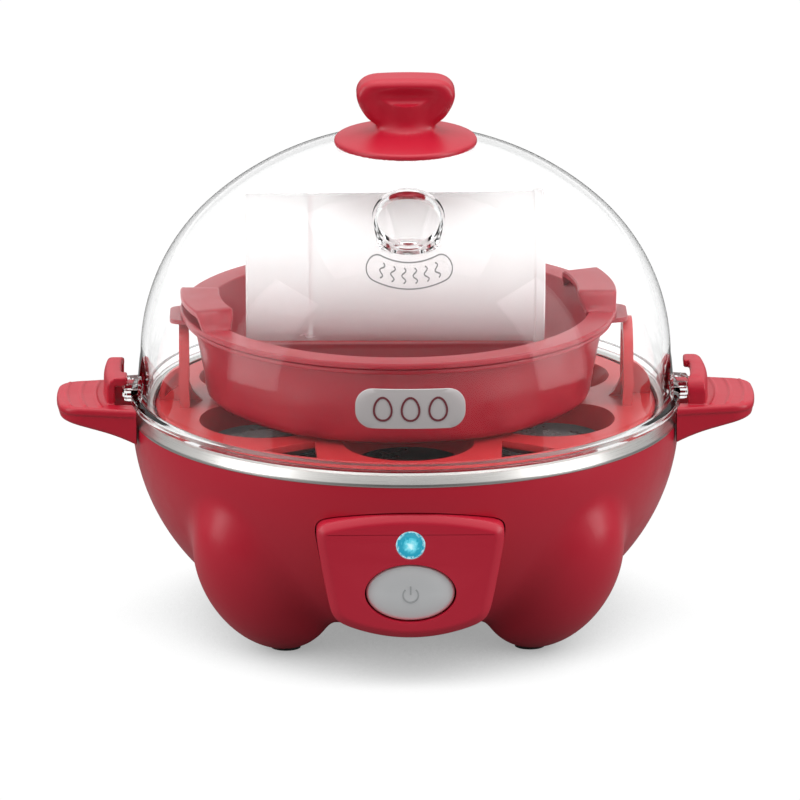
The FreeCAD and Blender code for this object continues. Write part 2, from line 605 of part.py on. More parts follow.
def led_lamp():
    start = "(panel_face + 3.2)"
    bulb = rod("lamp_bulb", "bulb_radius", "bulb_length", (0, start, "lamp_level"), ALONG_Y)
    collar = rod("lamp_collar", "bulb_radius + 0.5", "1.2",
                 (0, f"{start} + bulb_length - 0.4", "lamp_level"), ALONG_Y)
    legs = [rod(f"lamp_leg_{index}", "lamp_pin", "bulb_length",
                (x, f"{start} + bulb_length + 0.5", "lamp_level"), ALONG_Y)
            for index, x in enumerate(("-lamp_pitch / 2", "lamp_pitch / 2"))]
    keep(join("lamp", [bulb, collar] + legs), "led_lamp")


def led_board():
    front = "(panel_face + 7.1)"
    board = block("board_plate", ("board_width", "board_thickness", "board_height"),
                  ("-board_width / 2", front, "lamp_level - board_drop"))
    holes = [rod(f"board_hole_{index}", "lamp_pin + 0.15", "4", (x, f"{front} - 1", "lamp_level"), ALONG_Y)
             for index, x in enumerate(("-lamp_pitch / 2", "lamp_pitch / 2"))]
    keep(cut("board", board, holes), "led_board")


def power_button():
    cap = body("button_cap")
    front = "(panel_face - button_proud)"
    pad = extrude(cap, oval(cap, "button_outline", "button_half_width", "button_half_height", f"-{front}"),
                  "button_depth", reverse=True)
    document.recompute()
    rounding = cap.newObject("PartDesign::Fillet", "button_edge")
    rim = [f"Edge{index}" for index, edge in enumerate(pad.Shape.Edges, start=1)
           if all(abs(vertex.Point.y - number(front)) < 1e-6 for vertex in edge.Vertexes)]
    rounding.Base = (pad, rim)
    rounding.Radius = number("button_round")
    rounding.setExpression("Radius", bound("button_round"))
    stem = rod("button_stem", "stem_radius", "stem_length + 0.5",
               (0, f"{front} + button_depth - 0.5", "button_level"), ALONG_Y)
    keep(join("button", [cap, stem]), "power_button")


SWITCH_FRONT = "(panel_face - button_proud + button_depth + stem_length + button_travel + 0.4)"


def button_spring():
    """A coil spring round the stem, between the cap and the switch."""
    start = number("panel_face - button_proud + button_depth + 0.05")
    end = number(SWITCH_FRONT) - 0.05
    wire = 0.35
    radius = number("stem_radius") + 1.3
    length = end - start - 2 * wire
    helix = Part.makeHelix(length / 4, length, radius)
    section = Part.Wire([Part.makeCircle(wire, Vector(radius, 0, 0), Vector(0, 1, 0))])
    coil = Part.Wire(helix.Edges).makePipeShell([section], True, True)
    spring = document.addObject("Part::Feature", "spring")
    spring.Shape = coil
    spring.Placement = Placement(Vector(0, start + wire, number("button_level")), ALONG_Y)
    keep(spring, "button_spring")


def power_switch():
    case = block("switch_case", ("switch_width", "switch_depth", "switch_height"),
                 ("-switch_width / 2", SWITCH_FRONT, "button_level - switch_height / 2"))
    tabs = [block(f"switch_tab_{index}", ("tab_thickness", "tab_width", "3.2"),
                  (f"{side} * switch_width / 4 - tab_thickness / 2", f"{SWITCH_FRONT} + switch_depth - 0.5",
                   "button_level - 1.6"))
            for index, side in enumerate((-1, 1))]
    keep(join("switch", [case] + tabs), "power_switch")


def switch_bracket():
    rise = "(button_level - 1 - panel_bottom - panel_wall) / (panel_top - panel_bottom - 2 * panel_wall)"
    inner = f"(panel_half_bottom - panel_wall + (panel_half_top - panel_half_bottom) * {rise} - 0.05)"
    front = f"({SWITCH_FRONT} + switch_depth * 0.4)"
    half_window = "(switch_width / 2 + 0.08)"
    bars = []
    for side, start in (("left", f"-{inner}"), ("right", half_window)):
        bars.append(block(f"bracket_{side}", (f"{inner} - {half_window}", "bracket_thickness", "bracket_bar"),
                          (start, front, "button_level - 1")))
    yoke_level = "(button_level + switch_height / 2 + 0.08)"
    yoke = block("bracket_yoke", (f"2 * {inner}", "bracket_thickness", "bracket_yoke"),
                 (f"-{inner}", front, yoke_level))
    height = f"{yoke_level} - button_level"
    sides = [block(f"bracket_side_{index}", ("bracket_side", "bracket_thickness", height),
                   (x, front, "button_level + 1"))
             for index, x in enumerate((f"-{inner}", f"{inner} - bracket_side"))]
    keep(join("bracket", bars + [yoke] + sides), "switch_bracket")


# ---------------------------------------------------------------- wiring and outlet

def cord_gland():
    face = "outlet_face"
    flange = rod("gland_flange_ring", "gland_radius", "gland_flange", (0, face, "outlet_level"), ALONG_Y)
    neck = rod("gland_neck", "outlet_bore - 0.05", "gland_depth",
               (0, f"{face} - gland_depth", "outlet_level"), ALONG_Y)
    bore = rod("gland_hole", "gland_bore", "2 * outlet_boss",
               (0, f"{face} - outlet_boss", "outlet_level"), ALONG_Y)
    keep(cut("gland", join("gland_whole", [flange, neck]), [bore]), "cord_gland")


CONNECTOR_PLACE = f"({INNER_FLOOR_RADIUS} - connector_inset)"


def terminal_block():
    level = f"{INNER_FLOOR_LEVEL} + 0.02"
    spots = ("-connector_pitch", "0", "connector_pitch")
    case = block("block_case", ("connector_width", "connector_depth", "connector_height"),
                 ("-connector_width / 2", CONNECTOR_PLACE, level))
    wells = [rod(f"block_well_{index}", "1.8", "connector_height",
                 (x, f"{CONNECTOR_PLACE} + connector_depth / 2", f"{level} + connector_height * 0.7"))
             for index, x in enumerate(spots)]
    entries = [rod(f"block_entry_{index}", "wire_radius + 0.5", "connector_depth + 2",
                   (x, f"{CONNECTOR_PLACE} - 1", f"{level} + connector_height * 0.4"), ALONG_Y)
               for index, x in enumerate(spots)]
    keep(cut("connector", case, wells + entries), "terminal_block")


def lead(name, points, radius):
    """An insulated wire along straight runs with rounded bends."""
    path = [Vector(*[number(value) for value in point]) for point in points]
    edges = []
    start = path[0]
    for before, bend, after in zip(path, path[1:], path[2:]):
        run = min((bend - before).Length, (after - bend).Length) * 0.4
        first = bend + (before - bend).normalize() * run
        last = bend + (after - bend).normalize() * run
        turn = (bend - before).getAngle(after - bend)
        size = run / math.tan(turn / 2)
        inward = ((before - bend).normalize() + (after - bend).normalize()).normalize()
        centre = bend + inward * math.hypot(run, size)
        middle = centre - inward * size
        edges.append(Part.LineSegment(start, first).toShape())
        edges.append(Part.Arc(first, middle, last).toShape())
        start = last
    edges.append(Part.LineSegment(start, path[-1]).toShape())
    spine = Part.Wire(edges)
    section = Part.Wire([Part.makeCircle(radius, path[0], path[1] - path[0])])
    wire = document.addObject("Part::Feature", name)
    wire.Shape = spine.makePipeShell([section], True, False)
    return wire


def lead_wires():
    entry = "floor_level + shell_wall + connector_height * 0.4"
    start = f"{CONNECTOR_PLACE} - wire_radius - 0.5"
    back = f"({SWITCH_FRONT} + switch_depth + tab_width + 1)"
    radius = number("wire_radius")
    switch_lead = lead("switch_lead", [
        ("-connector_pitch", start, entry), (-9, 10, "floor_level + 12"), (-9, -18, "floor_level + 14"),
        (-4, back, "button_level")], radius)
    lamp_lead = lead("lamp_lead", [
        (0, start, entry), (2, 8, "floor_level + 10"), (9, -14, "floor_level + 16"),
        (4, back, "button_level")], radius)
    keep(group("leads", [switch_lead, lamp_lead]), "lead_wires")


# ---------------------------------------------------------------- side handles

def handle(side, azimuth):
    """A side handle, drawn on +X with its hook closed towards -Y, then turned about Z."""
    owner = body(f"{side}_grip")
    shoulder = "(handle_reach - handle_crown)"
    end_arc = "((handle_half_tip ^ 2 + handle_crown ^ 2) / (2 * handle_crown))"
    drawing = outline(sketch(owner, f"{side}_grip_outline", "XY_Plane", "handle_root_bottom"), [
        ("handle_root", "-handle_half_root"), (shoulder, "-handle_half_tip", end_arc),
        (shoulder, "handle_half_tip"), ("handle_root", "handle_half_root")])
    pad = extrude(owner, drawing, "handle_top - handle_root_bottom")
    document.recompute()
    tip_edges = [name for name in corner_edges(pad.Shape, Vector(0, 0, 1))
                 if pad.Shape.getElement(name).BoundBox.XMin > number("handle_reach") - 3]
    rounding = owner.newObject("PartDesign::Fillet", f"{side}_grip_corners")
    rounding.Base = (pad, tip_edges)
    rounding.Radius = number("handle_corner")
    rounding.setExpression("Radius", bound("handle_corner"))
    under = outline(sketch(owner, f"{side}_grip_underside", "XZ_Plane"), [
        ("handle_root - 1", "handle_root_bottom - 1"), ("handle_reach + 1", "handle_root_bottom - 1"),
        ("handle_reach + 1", "handle_tip_bottom"), ("handle_waist", "handle_waist_bottom"),
        ("handle_root - 1", "handle_root_bottom")])
    extrude(owner, under, "4 * handle_half_root", "Pocket", centred=True)
    half = "(handle_half_tip - ridge_inset)"
    for index in range(3):
        inner = f"(ridge_start + {index} * ridge_pitch)"
        ridge = outline(sketch(owner, f"{side}_ridge_{index}", "XY_Plane", "handle_top - 0.2"), [
            (inner, f"-{half}"), (f"{inner} + ridge_width", f"-{half}", "ridge_arc"),
            (f"{inner} + ridge_width", half), (inner, half, "-ridge_arc")])
        extrude(owner, ridge, "ridge_height + 0.2")
    slot = outline(sketch(owner, f"{side}_slot", "XY_Plane", "handle_top + 1"), [
        ("handle_root - 2", "-hook_closed_end + hook_leg"), ("slot_outer", "-hook_closed_end + hook_leg"),
        ("slot_outer", "hook_open_end"), ("handle_root - 2", "hook_open_end")])
    extrude(owner, slot, "30", "Pocket")
    length = "hook_open_end + hook_closed_end"
    wall = block(f"{side}_hook_wall", ("hook_outer - slot_outer", length, "hook_top - handle_top + 1"),
                 ("slot_outer", "-hook_closed_end", "handle_top - 1"))
    roof = block(f"{side}_hook_roof", ("hook_outer - hook_waist", length, "hook_roof"),
                 ("hook_waist", "-hook_closed_end", "hook_top - hook_roof"))
    lip = block(f"{side}_hook_lip", ("hook_outer - hook_lip_reach", "hook_lip", "hook_roof"),
                ("hook_lip_reach", "hook_open_end - hook_lip", "hook_top - hook_roof"))
    leg = block(f"{side}_hook_leg", ("hook_outer - slot_inner", "hook_leg", "hook_top - hook_leg_bottom"),
                ("slot_inner", "-hook_closed_end", "hook_leg_bottom"))
    hook = document.addObject("Part::Fillet", f"{side}_hook")
    hook.Base = join(f"{side}_hook_block", [wall, roof, lip, leg])
    document.recompute()
    top = number("hook_top")
    outer = number("hook_outer")
    end = number("hook_closed_end")
    picks = [index for index, edge in enumerate(hook.Base.Shape.Edges, start=1)
             if all(abs(v.Point.z - top) < 1e-6 for v in edge.Vertexes)
             and (all(abs(v.Point.x - outer) < 1e-6 for v in edge.Vertexes)
                  or all(abs(v.Point.y + end) < 1e-6 for v in edge.Vertexes))]
    round_size = number("hook_round")
    hook.Edges = [(index, round_size, round_size) for index in picks]
    joined = tongues(f"{side}_tongue", "handle_root + 1 - tongue_length", "tongue_length", "0")
    whole = join(f"{side}_handle_whole", [owner, hook] + joined)
    band_clear = rod(f"{side}_band_clear", "rim_radius + 0.25", "20", (0, 0, "rim_level - 0.1"))
    lid_clear = rod(f"{side}_lid_clear", "flange_radius + 0.35", "20", (0, 0, "band_top"))
    trimmed = cut(f"{side}_handle_trimmed", whole, [band_clear, lid_clear])
    trimmed.Placement = Placement(Vector(), Rotation(Vector(0, 0, 1), azimuth))
    keep(trimmed, f"{side}_handle")


# ---------------------------------------------------------------- egg tray

def egg_tray():
    plate_bottom = "(tray_top - tray_plate)"
    owner = turned("tray", [
        (0, plate_bottom), ("tray_radius - 2.6", plate_bottom),
        ("tray_radius - 2.6", "ledge_level + dish_gap"),
        ("tray_radius - 0.2", "ledge_level + dish_gap"), ("tray_radius", "tray_top - 0.8"),
        ("tray_radius - 0.8", "tray_top"), (0, "tray_top")])
    cups = []
    for index, azimuth in enumerate(around(6, 30)):
        x, y = polar("egg_circle", azimuth)
        cups.append(solid("Cone", f"egg_cup_{index}", {
            "Radius1": "egg_throat + egg_wall", "Radius2": "egg_mouth + egg_wall", "Height": "egg_depth"},
            (x, y, "tray_top - egg_depth")))
    slope = "((egg_mouth - egg_throat) / egg_depth)"
    mouths = []
    for index, azimuth in enumerate(around(6, 30)):
        x, y = polar("egg_circle", azimuth)
        mouths.append(solid("Cone", f"egg_mouth_{index}", {
            "Radius1": f"egg_throat - {slope}", "Radius2": f"egg_mouth + {slope}", "Height": "egg_depth + 2"},
            (x, y, "tray_top - egg_depth - 1")))
    gaps = []
    for azimuth in (60, 120, 240, 300):
        gap = body(f"steam_gap_{azimuth}")
        face = sketch(gap, f"steam_gap_outline_{azimuth}", "XY_Plane", "tray_top + 1", turn=azimuth)
        drawing = outline(face, [
            ("gap_inner", 0), ("gap_outer", "-gap_half"), ("gap_outer + 1.2", 0), ("gap_outer", "gap_half")])
        extrude(gap, drawing, "10", reverse=True)
        gaps.append(gap)
    loops = []
    for side, azimuth in SIDES.items():
        loops.append(tray_loop(side, azimuth))
    keep(cut("tray_whole", join("tray_solid", [owner] + cups + loops), mouths + gaps), "egg_tray")


def tray_loop(side, azimuth):
    """An upright lifting loop with an outer gusset, on the +X side and then turned about Z."""
    owner = body(f"{side}_loop")
    bend = "(loop_top - loop_half)"
    base = "(tray_top - 1)"
    arch = outline(sketch(owner, f"{side}_loop_arch", "YZ_Plane", "loop_reach"), [
        ("-loop_half", base), ("loop_half", base), ("loop_half", bend, "loop_half"),
        (0, "loop_top", "loop_half"), ("-loop_half", bend)])
    extrude(owner, arch, "loop_thickness")
    hole = outline(sketch(owner, f"{side}_loop_hole", "YZ_Plane", "loop_reach - 1"), [
        ("-loop_half + loop_bar", "tray_top + 4"), ("loop_half - loop_bar", "tray_top + 4"),
        ("loop_half - loop_bar", bend, "loop_half - loop_bar"),
        (0, "loop_top - loop_bar", "loop_half - loop_bar"), ("-loop_half + loop_bar", bend)])
    extrude(owner, hole, "loop_thickness + 2", "Pocket", reverse=True)
    foot = "(loop_reach + loop_thickness - 0.5)"
    half = "-gusset_thickness / 2"
    rise = "(gusset_top - tray_top)"
    gusset = outline(sketch(owner, f"{side}_loop_gusset", "XZ_Plane", half), [
        (foot, base), ("gusset_reach + 0.3", base), ("gusset_reach", "tray_top", rise), (foot, "gusset_top")])
    extrude(owner, gusset, "gusset_thickness", reverse=True)
    window = outline(sketch(owner, f"{side}_gusset_window", "XZ_Plane", f"{half} - 1"), [
        ("gusset_reach - gusset_rib", "tray_top + 1", f"{rise} - gusset_rib"),
        (f"{foot} + 0.9", "gusset_top - gusset_rib - 0.3"), (f"{foot} + 0.9", f"tray_top + 0.45 * {rise}")])
    extrude(owner, window, "gusset_thickness + 2", "Pocket")
    inside = "(loop_reach + 0.5)"
    inner = outline(sketch(owner, f"{side}_inner_gusset", "XZ_Plane", half), [
        ("inner_gusset_reach", base), (inside, base), (inside, "inner_gusset_top", "-12"),
        ("inner_gusset_reach", "tray_top")])
    extrude(owner, inner, "gusset_thickness", reverse=True)
    owner.Placement = Placement(Vector(), Rotation(Vector(0, 0, 1), azimuth))
    return owner


# ---------------------------------------------------------------- omelette bowl and poaching tray

def omelette_bowl():
    bottom = "(tray_top + dish_gap)"
    rim_under = "(dish_rim_top - dish_rim_thickness)"
    heel = f"({bottom} + dish_corner)"
    owner = turned("omelette", [
        (0, bottom), ("dish_floor_radius", bottom, "dish_corner * 1.02"), ("dish_heel", heel),
        ("dish_wall_radius", rim_under), ("dish_rim_radius", rim_under), ("dish_rim_radius", "dish_rim_top"),
        ("dish_wall_radius - dish_wall", "dish_rim_top"),
        ("dish_heel - dish_wall", f"{heel}", "-(dish_corner * 1.02 - dish_wall + 0.2)"),
        ("dish_floor_radius", f"{bottom} + dish_wall"), (0, f"{bottom} + dish_wall")])
    for azimuth in SIDES.values():
        tab = outline(sketch(owner, f"dish_tab_{azimuth}", "XY_Plane", rim_under, turn=azimuth), [
            ("dish_rim_radius - 2", "-dish_tab_half"), ("dish_tab_reach", "-dish_tab_half * 0.7"),
            ("dish_tab_reach", "dish_tab_half * 0.7"), ("dish_rim_radius - 2", "dish_tab_half")])
        extrude(owner, tab, "dish_rim_thickness")
    place(owner, ("dish_offset", 0, 0))
    keep(owner, "omelette_bowl")


def poaching_tray():
    rim_under = "(poach_top - poach_rim_thickness)"
    bottom = "poach_floor"
    heel = "(poach_floor + poach_corner)"
    owner = turned("poacher", [
        (0, bottom), ("poach_floor_radius", bottom, "poach_corner * 1.02"), ("poach_heel", heel),
        ("poach_inner + poach_wall", rim_under), ("poach_rim_radius", rim_under),
        ("poach_rim_radius", "poach_top - 0.5"), ("poach_rim_radius - 0.5", "poach_top"),
        ("poach_inner", "poach_top"),
        ("poach_heel - poach_wall", heel, "-(poach_corner * 1.02 - poach_wall + 0.2)"),
        ("poach_floor_radius", f"{bottom} + poach_wall"), (0, f"{bottom} + poach_wall")])
    divider = outline(sketch(owner, "divider_section", "YZ_Plane"), [
        ("-divider_half_base", "poach_floor + 0.5"), ("divider_half_base", "poach_floor + 0.5"),
        ("divider_half_top", "divider_top"), ("-divider_half_top", "divider_top")])
    extrude(owner, divider, "2 * (poach_floor_radius + 3)", centred=True)
    wings = [poaching_wing(index, azimuth) for index, azimuth in enumerate(SIDES.values())]
    whole = join("poacher_whole", [owner] + wings)
    place(whole, ("dish_offset", 0, 0))
    keep(whole, "poaching_tray")


def poaching_wing(index, azimuth):
    """A raised lifting wing on the rim, hollow underneath, with sloping ends."""
    wing = body(f"wing_{index}")
    turn = azimuth + number("wing_start + wing_sweep / 2")
    half_sweep = "(wing_sweep / 2)"
    outer_y = f"(poach_rim_radius * sin(1deg * {half_sweep}))"
    outer_x = f"(poach_rim_radius * cos(1deg * {half_sweep}))"
    drawing = outline(sketch(wing, f"wing_outline_{index}", "XY_Plane", "poach_top - 0.3", turn=turn), [
        ("wing_inner", "-wing_root_half"), (outer_x, f"-{outer_y}", "poach_rim_radius"),
        (outer_x, outer_y), ("wing_inner", "wing_root_half")])
    extrude(wing, drawing, "wing_height + 0.3")
    prism = body(f"wing_prism_{index}")
    shape = outline(sketch(prism, f"wing_prism_outline_{index}", "YZ_Plane", "poach_inner - 8"), [
        (f"-{outer_y} - 1", "poach_top - 0.5"), (f"{outer_y} + 1", "poach_top - 0.5"),
        (f"{outer_y} - wing_slope", "poach_top + wing_height"),
        (f"-{outer_y} + wing_slope", "poach_top + wing_height")])
    extrude(prism, shape, "30")
    prism.Placement = Placement(Vector(), Rotation(Vector(0, 0, 1), turn))
    return common(f"wing_shaped_{index}", [wing, prism])


# ---------------------------------------------------------------- measuring cup

def measuring_cup():
    owner = body("cup")
    drawing = sketch(owner, "cup_profile", "XZ_Plane")
    step = "cup_mouth - cup_rim_width"
    inner = "(cup_mouth_radius - cup_wall)"
    outline(drawing, [
        ("cup_base", "cup_base_radius - cup_round"), ("cup_base", "cup_base_radius - cup_round - cup_wall"),
        ("cup_floor - cup_wall", "cup_base_radius - cup_wall"), ("cup_floor - cup_wall", "pin_boss_radius"),
        ("cup_floor - cup_wall - pin_boss_length", "pin_boss_radius - 0.6"),
        ("cup_floor - cup_wall - pin_boss_length", "pin_radius + 0.01"),
        ("cup_floor - 0.3", "pin_radius + 0.01"),
        ("cup_floor - 0.3", 0), ("cup_floor", 0), ("cup_floor", "cup_base_radius - cup_wall"),
        ("cup_mouth", inner), ("cup_mouth", "cup_rim_radius"), (step, "cup_rim_radius"),
        (step, "cup_mouth_radius"), ("cup_base + cup_round", "cup_base_radius", "cup_round")])
    spin(owner, drawing, axis="H_Axis")
    place(owner, (0, 0, "cup_level"))
    keep(owner, "measuring_cup")


def piercing_pin():
    start = "cup_floor - 0.32"
    length = f"({start}) - pin_tip - pin_point"
    shank = rod("pin_shank", "pin_radius", length, ("pin_tip + pin_point", 0, "cup_level"), ALONG_X)
    point = solid("Cone", "pin_cone", {
        "Radius1": "pin_radius / 10", "Radius2": "pin_radius", "Height": "pin_point"},
        ("pin_tip", 0, "cup_level"), ALONG_X)
    keep(join("pin", [shank, point]), "piercing_pin")


# ---------------------------------------------------------------- lid

CROWN = ("(((dome_radius - dome_side_arc) ^ 2 + dome_rise ^ 2 - dome_side_arc ^ 2)"
         " / (2 * (dome_rise - dome_side_arc)))")
CROWN_CENTRE = f"(dome_spring + dome_rise - {CROWN})"
JOIN_SHARE = f"(1 / ({CROWN} - dome_side_arc))"


def dome_join(margin):
    """Where the side arc meets the crown arc, on a dome grown by margin."""
    reach = f"(dome_radius - dome_side_arc) * (1 + (dome_side_arc + ({margin})) * {JOIN_SHARE})"
    level = f"dome_spring + (dome_spring - {CROWN_CENTRE}) * (dome_side_arc + ({margin})) * {JOIN_SHARE}"
    return reach, level


def dome_solid(name, margin, bottom):
    """A filled dome with the lid's outer form grown by margin."""
    reach, level = dome_join(margin)
    return turned(name, [
        (0, bottom), (f"skirt_radius + ({margin})", bottom),
        (f"dome_radius + ({margin})", "dome_spring", f"dome_side_arc + ({margin})"),
        (reach, level, f"{CROWN} + ({margin})"),
        (0, f"dome_spring + dome_rise + ({margin})")])


def lid_dome():
    outside = dome_solid("dome_outside", 0, "flange_bottom")
    flange = turned("lid_flange", [
        (0, "flange_bottom"), ("flange_radius", "flange_bottom"),
        ("flange_radius", "flange_bottom + flange_thickness - 0.6"),
        ("flange_radius - 0.6", "flange_bottom + flange_thickness"), (0, "flange_bottom + flange_thickness")])
    inside = dome_solid("dome_inside", "-dome_wall", "flange_bottom - 1")
    ears = []
    for side, azimuth in SIDES.items():
        ears.append(ear(side, azimuth))
    well = common("vent_well", [
        rod("vent_post", "vent_radius", "30", (0, "-vent_reach", "vent_bottom")),
        dome_solid("vent_limit", "vent_proud", "flange_bottom")])
    floor = "(vent_bottom + vent_floor)"
    hollow = solid("Cone", "vent_hollow", {
        "Radius1": "vent_throat", "Radius2": "vent_radius - vent_wall", "Height": "8"},
        (0, "-vent_reach", floor))
    mouth = rod("vent_mouth", "vent_radius - vent_wall", "30", (0, "-vent_reach", f"{floor} + 8"))
    hole = rod("vent_outlet", "vent_hole", "20", (0, "-vent_reach", "vent_bottom - 5"))
    knob_hole = rod("knob_hole", "knob_bore", "20", (0, 0, "dome_spring + dome_rise - 10"))
    ring_outer = "(knob_ring_inner + knob_ring_width)"
    ring_level = f"({CROWN_CENTRE} + sqrt({CROWN} ^ 2 - {ring_outer} ^ 2))"
    ring_top = f"{ring_level} + knob_ring_height"
    ring = turned("knob_ring", [
        ("knob_ring_inner", f"{ring_level} - 1"), (ring_outer, f"{ring_level} - 1"),
        (ring_outer, ring_top), ("knob_ring_inner", ring_top)])
    shell = cut("dome_shell", join("dome_body", [outside, flange, ring] + ears), [inside])
    whole = join("dome_with_vent", [shell, well])
    keep(cut("dome", whole, [hollow, mouth, hole, knob_hole]), "lid_dome")


def ear(side, azimuth):
    """A clear ear that drops into a side handle's hook."""
    plate = block(f"{side}_ear_plate", ("ear_reach - skirt_radius + 1", "2 * ear_half", "ear_thickness"),
                  ("skirt_radius - 1", "-ear_half", "ear_bottom"))
    rib = block(f"{side}_ear_rib", (
        "ear_rib_reach - dome_radius + 1", "2 * ear_rib_half", "ear_rib_top - ear_bottom"),
        ("dome_radius - 1", "-ear_rib_half", "ear_bottom"))
    catch = rod(f"{side}_ear_catch", "ear_catch_radius", "ear_catch_drop + 0.1",
                ("ear_reach - ear_catch_radius - 0.4", 0, "ear_bottom - ear_catch_drop"))
    whole = join(f"{side}_ear", [plate, rib, catch])
    whole.Placement = Placement(Vector(), Rotation(Vector(0, 0, 1), azimuth))
    return whole


def lid_knob():
    edge = f"({CROWN_CENTRE} + sqrt({CROWN} ^ 2 - knob_disc_radius ^ 2) + 0.1)"
    disc = turned("knob_disc", [
        (0, edge), ("knob_disc_radius", edge), ("knob_disc_radius", f"{edge} + knob_edge", "knob_disc_arc"),
        ("knob_neck_radius + 1.5", "knob_neck_level - 1.6", "-3"), ("knob_neck_radius", "knob_neck_level"),
        ("knob_neck_radius", "grip_bottom + 3"), (0, "grip_bottom + 3")])
    under = dome_solid("knob_underside", 0.1, "flange_bottom")
    grip = body("knob_grip")
    drawing = outline(sketch(grip, "knob_grip_outline", "XZ_Plane"), [
        ("-grip_half_base", "grip_bottom", 60), ("grip_half_base", "grip_bottom", 30),
        ("grip_half_width", "grip_wide_level", 4.6), ("grip_half_width - 3.4", "grip_top - 0.9", 50),
        ("-grip_half_width + 3.4", "grip_top - 0.9", 4.6), ("-grip_half_width", "grip_wide_level", 30)])
    pad = extrude(grip, drawing, "2 * grip_half_thickness", centred=True)
    document.recompute()
    rounding = grip.newObject("PartDesign::Fillet", "knob_grip_round")
    half = number("grip_half_thickness")
    rims = [f"Edge{index}" for index, edge in enumerate(pad.Shape.Edges, start=1)
            if all(abs(abs(vertex.Point.y) - half) < 1e-6 for vertex in edge.Vertexes)
            and (edge.Vertexes[0].Point.y * edge.Vertexes[-1].Point.y > 0)]
    rounding.Base = (pad, rims)
    rounding.Radius = number("grip_round")
    rounding.setExpression("Radius", bound("grip_round"))
    bore = rod("knob_screw_bore", "knob_bore - 0.3", "9", (0, 0, "dome_spring + dome_rise - 1"))
    keep(cut("knob", join("knob_whole", [disc, grip]), [under, bore]), "lid_knob")


INNER_TOP = "(dome_spring + dome_rise - dome_wall)"


def knob_washer():
    level = f"{INNER_TOP} - 0.2 - washer_thickness"
    ring = rod("washer_disc", "washer_radius", "washer_thickness", (0, 0, level))
    hole = rod("washer_hole", "knob_bore", "10", (0, 0, f"{INNER_TOP} - 6"))
    keep(cut("washer", ring, [hole]), "knob_washer")


def knob_screw():
    seat = f"({INNER_TOP} - 0.2 - washer_thickness - 0.02)"
    head = solid("Cone", "knob_screw_head", {"Radius1": "2.4", "Radius2": "3.1", "Height": "1.6"},
                 (0, 0, f"{seat} - 1.6"))
    shank = rod("knob_screw_shank", "knob_bore - 0.35", "knob_screw_length", (0, 0, f"{seat} - 0.1"))
    slot = block("knob_screw_slot", ("4", "0.8", "1"), (-2, -0.4, f"{seat} - 2.2"))
    keep(cut("fixing", join("knob_screw_whole", [head, shank]), [slot]), "knob_screw")


def lid_badge():
    """A plain curved plate on the front of the dome."""
    owner = body("badge_prism")
    drawing = outline(sketch(owner, "badge_outline", "XZ_Plane", "dome_radius - 6"), [
        ("-badge_half_width", "badge_level - badge_half_height"),
        ("badge_half_width", "badge_level - badge_half_height"),
        ("badge_half_width", "badge_level + badge_half_height"),
        ("-badge_half_width", "badge_level + badge_half_height")])
    pad = extrude(owner, drawing, "10")
    document.recompute()
    rounding = owner.newObject("PartDesign::Fillet", "badge_corners")
    rounding.Base = (pad, corner_edges(pad.Shape, Vector(0, 1, 0)))
    rounding.Radius = number("badge_corner")
    rounding.setExpression("Radius", bound("badge_corner"))
    skin = common("badge_skin", [owner, dome_solid("badge_limit", "badge_thickness", "flange_bottom")])
    keep(cut("badge", skin, [dome_solid("badge_seat", "0.03", "flange_bottom - 1")]), "lid_badge")


# ---------------------------------------------------------------- build, check and write

base_shell()
bottom_cover()
foot_pads()
plate_studs()
cover_screws()
steel_band()
heating_plate()
plate_gasket()
heating_element()
element_terminals()
thermostat()
thermal_fuse()
heat_shield()
control_panel()
led_lens()
led_lamp()
led_board()
power_button()
button_spring()
power_switch()
switch_bracket()
cord_gland()
terminal_block()
lead_wires()
for side_name, side_azimuth in SIDES.items():
    handle(side_name, side_azimuth)
egg_tray()
omelette_bowl()
poaching_tray()
measuring_cup()
piercing_pin()
lid_dome()
lid_knob()
knob_washer()
knob_screw()
lid_badge()

document.recompute()
failed = [item.Name for item in document.Objects if "Invalid" in item.State or "Error" in item.State]
if failed:
    raise RuntimeError("these objects failed: " + ", ".join(failed))
os.makedirs("parts", exist_ok=True)
for part in parts:
    if part.Shape.isNull() or not part.Shape.isValid() or not part.Shape.Solids:
        raise RuntimeError(part.Label + " has no valid solid")
    part.Shape.exportStep(f"parts/{part.Label}.step")
    print(f"{part.Label:20s} solids {len(part.Shape.Solids)} volume {part.Shape.Volume:10.1f}")
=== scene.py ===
import math

import bmesh
import bpy
import numpy as np
from mathutils import Matrix, Vector


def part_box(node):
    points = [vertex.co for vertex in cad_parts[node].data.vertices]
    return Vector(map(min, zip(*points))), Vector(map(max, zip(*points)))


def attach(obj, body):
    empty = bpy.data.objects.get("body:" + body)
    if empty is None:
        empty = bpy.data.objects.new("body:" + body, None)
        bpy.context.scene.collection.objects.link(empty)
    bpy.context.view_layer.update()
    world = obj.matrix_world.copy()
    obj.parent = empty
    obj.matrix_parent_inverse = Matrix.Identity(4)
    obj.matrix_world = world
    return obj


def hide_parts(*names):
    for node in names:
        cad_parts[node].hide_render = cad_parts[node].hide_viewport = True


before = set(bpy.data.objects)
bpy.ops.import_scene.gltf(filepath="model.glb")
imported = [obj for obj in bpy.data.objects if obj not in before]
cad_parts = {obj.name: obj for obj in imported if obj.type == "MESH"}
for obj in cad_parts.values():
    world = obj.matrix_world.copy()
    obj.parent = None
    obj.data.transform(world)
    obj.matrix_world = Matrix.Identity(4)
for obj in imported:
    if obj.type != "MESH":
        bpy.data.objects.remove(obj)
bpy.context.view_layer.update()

# Electric egg cooker: a red moulded base, a clear domed lid and the dishes that stand under it.
# Lengths in this file are millimetres until a mesh is made, which is where MM turns them into metres.

MM = 0.001


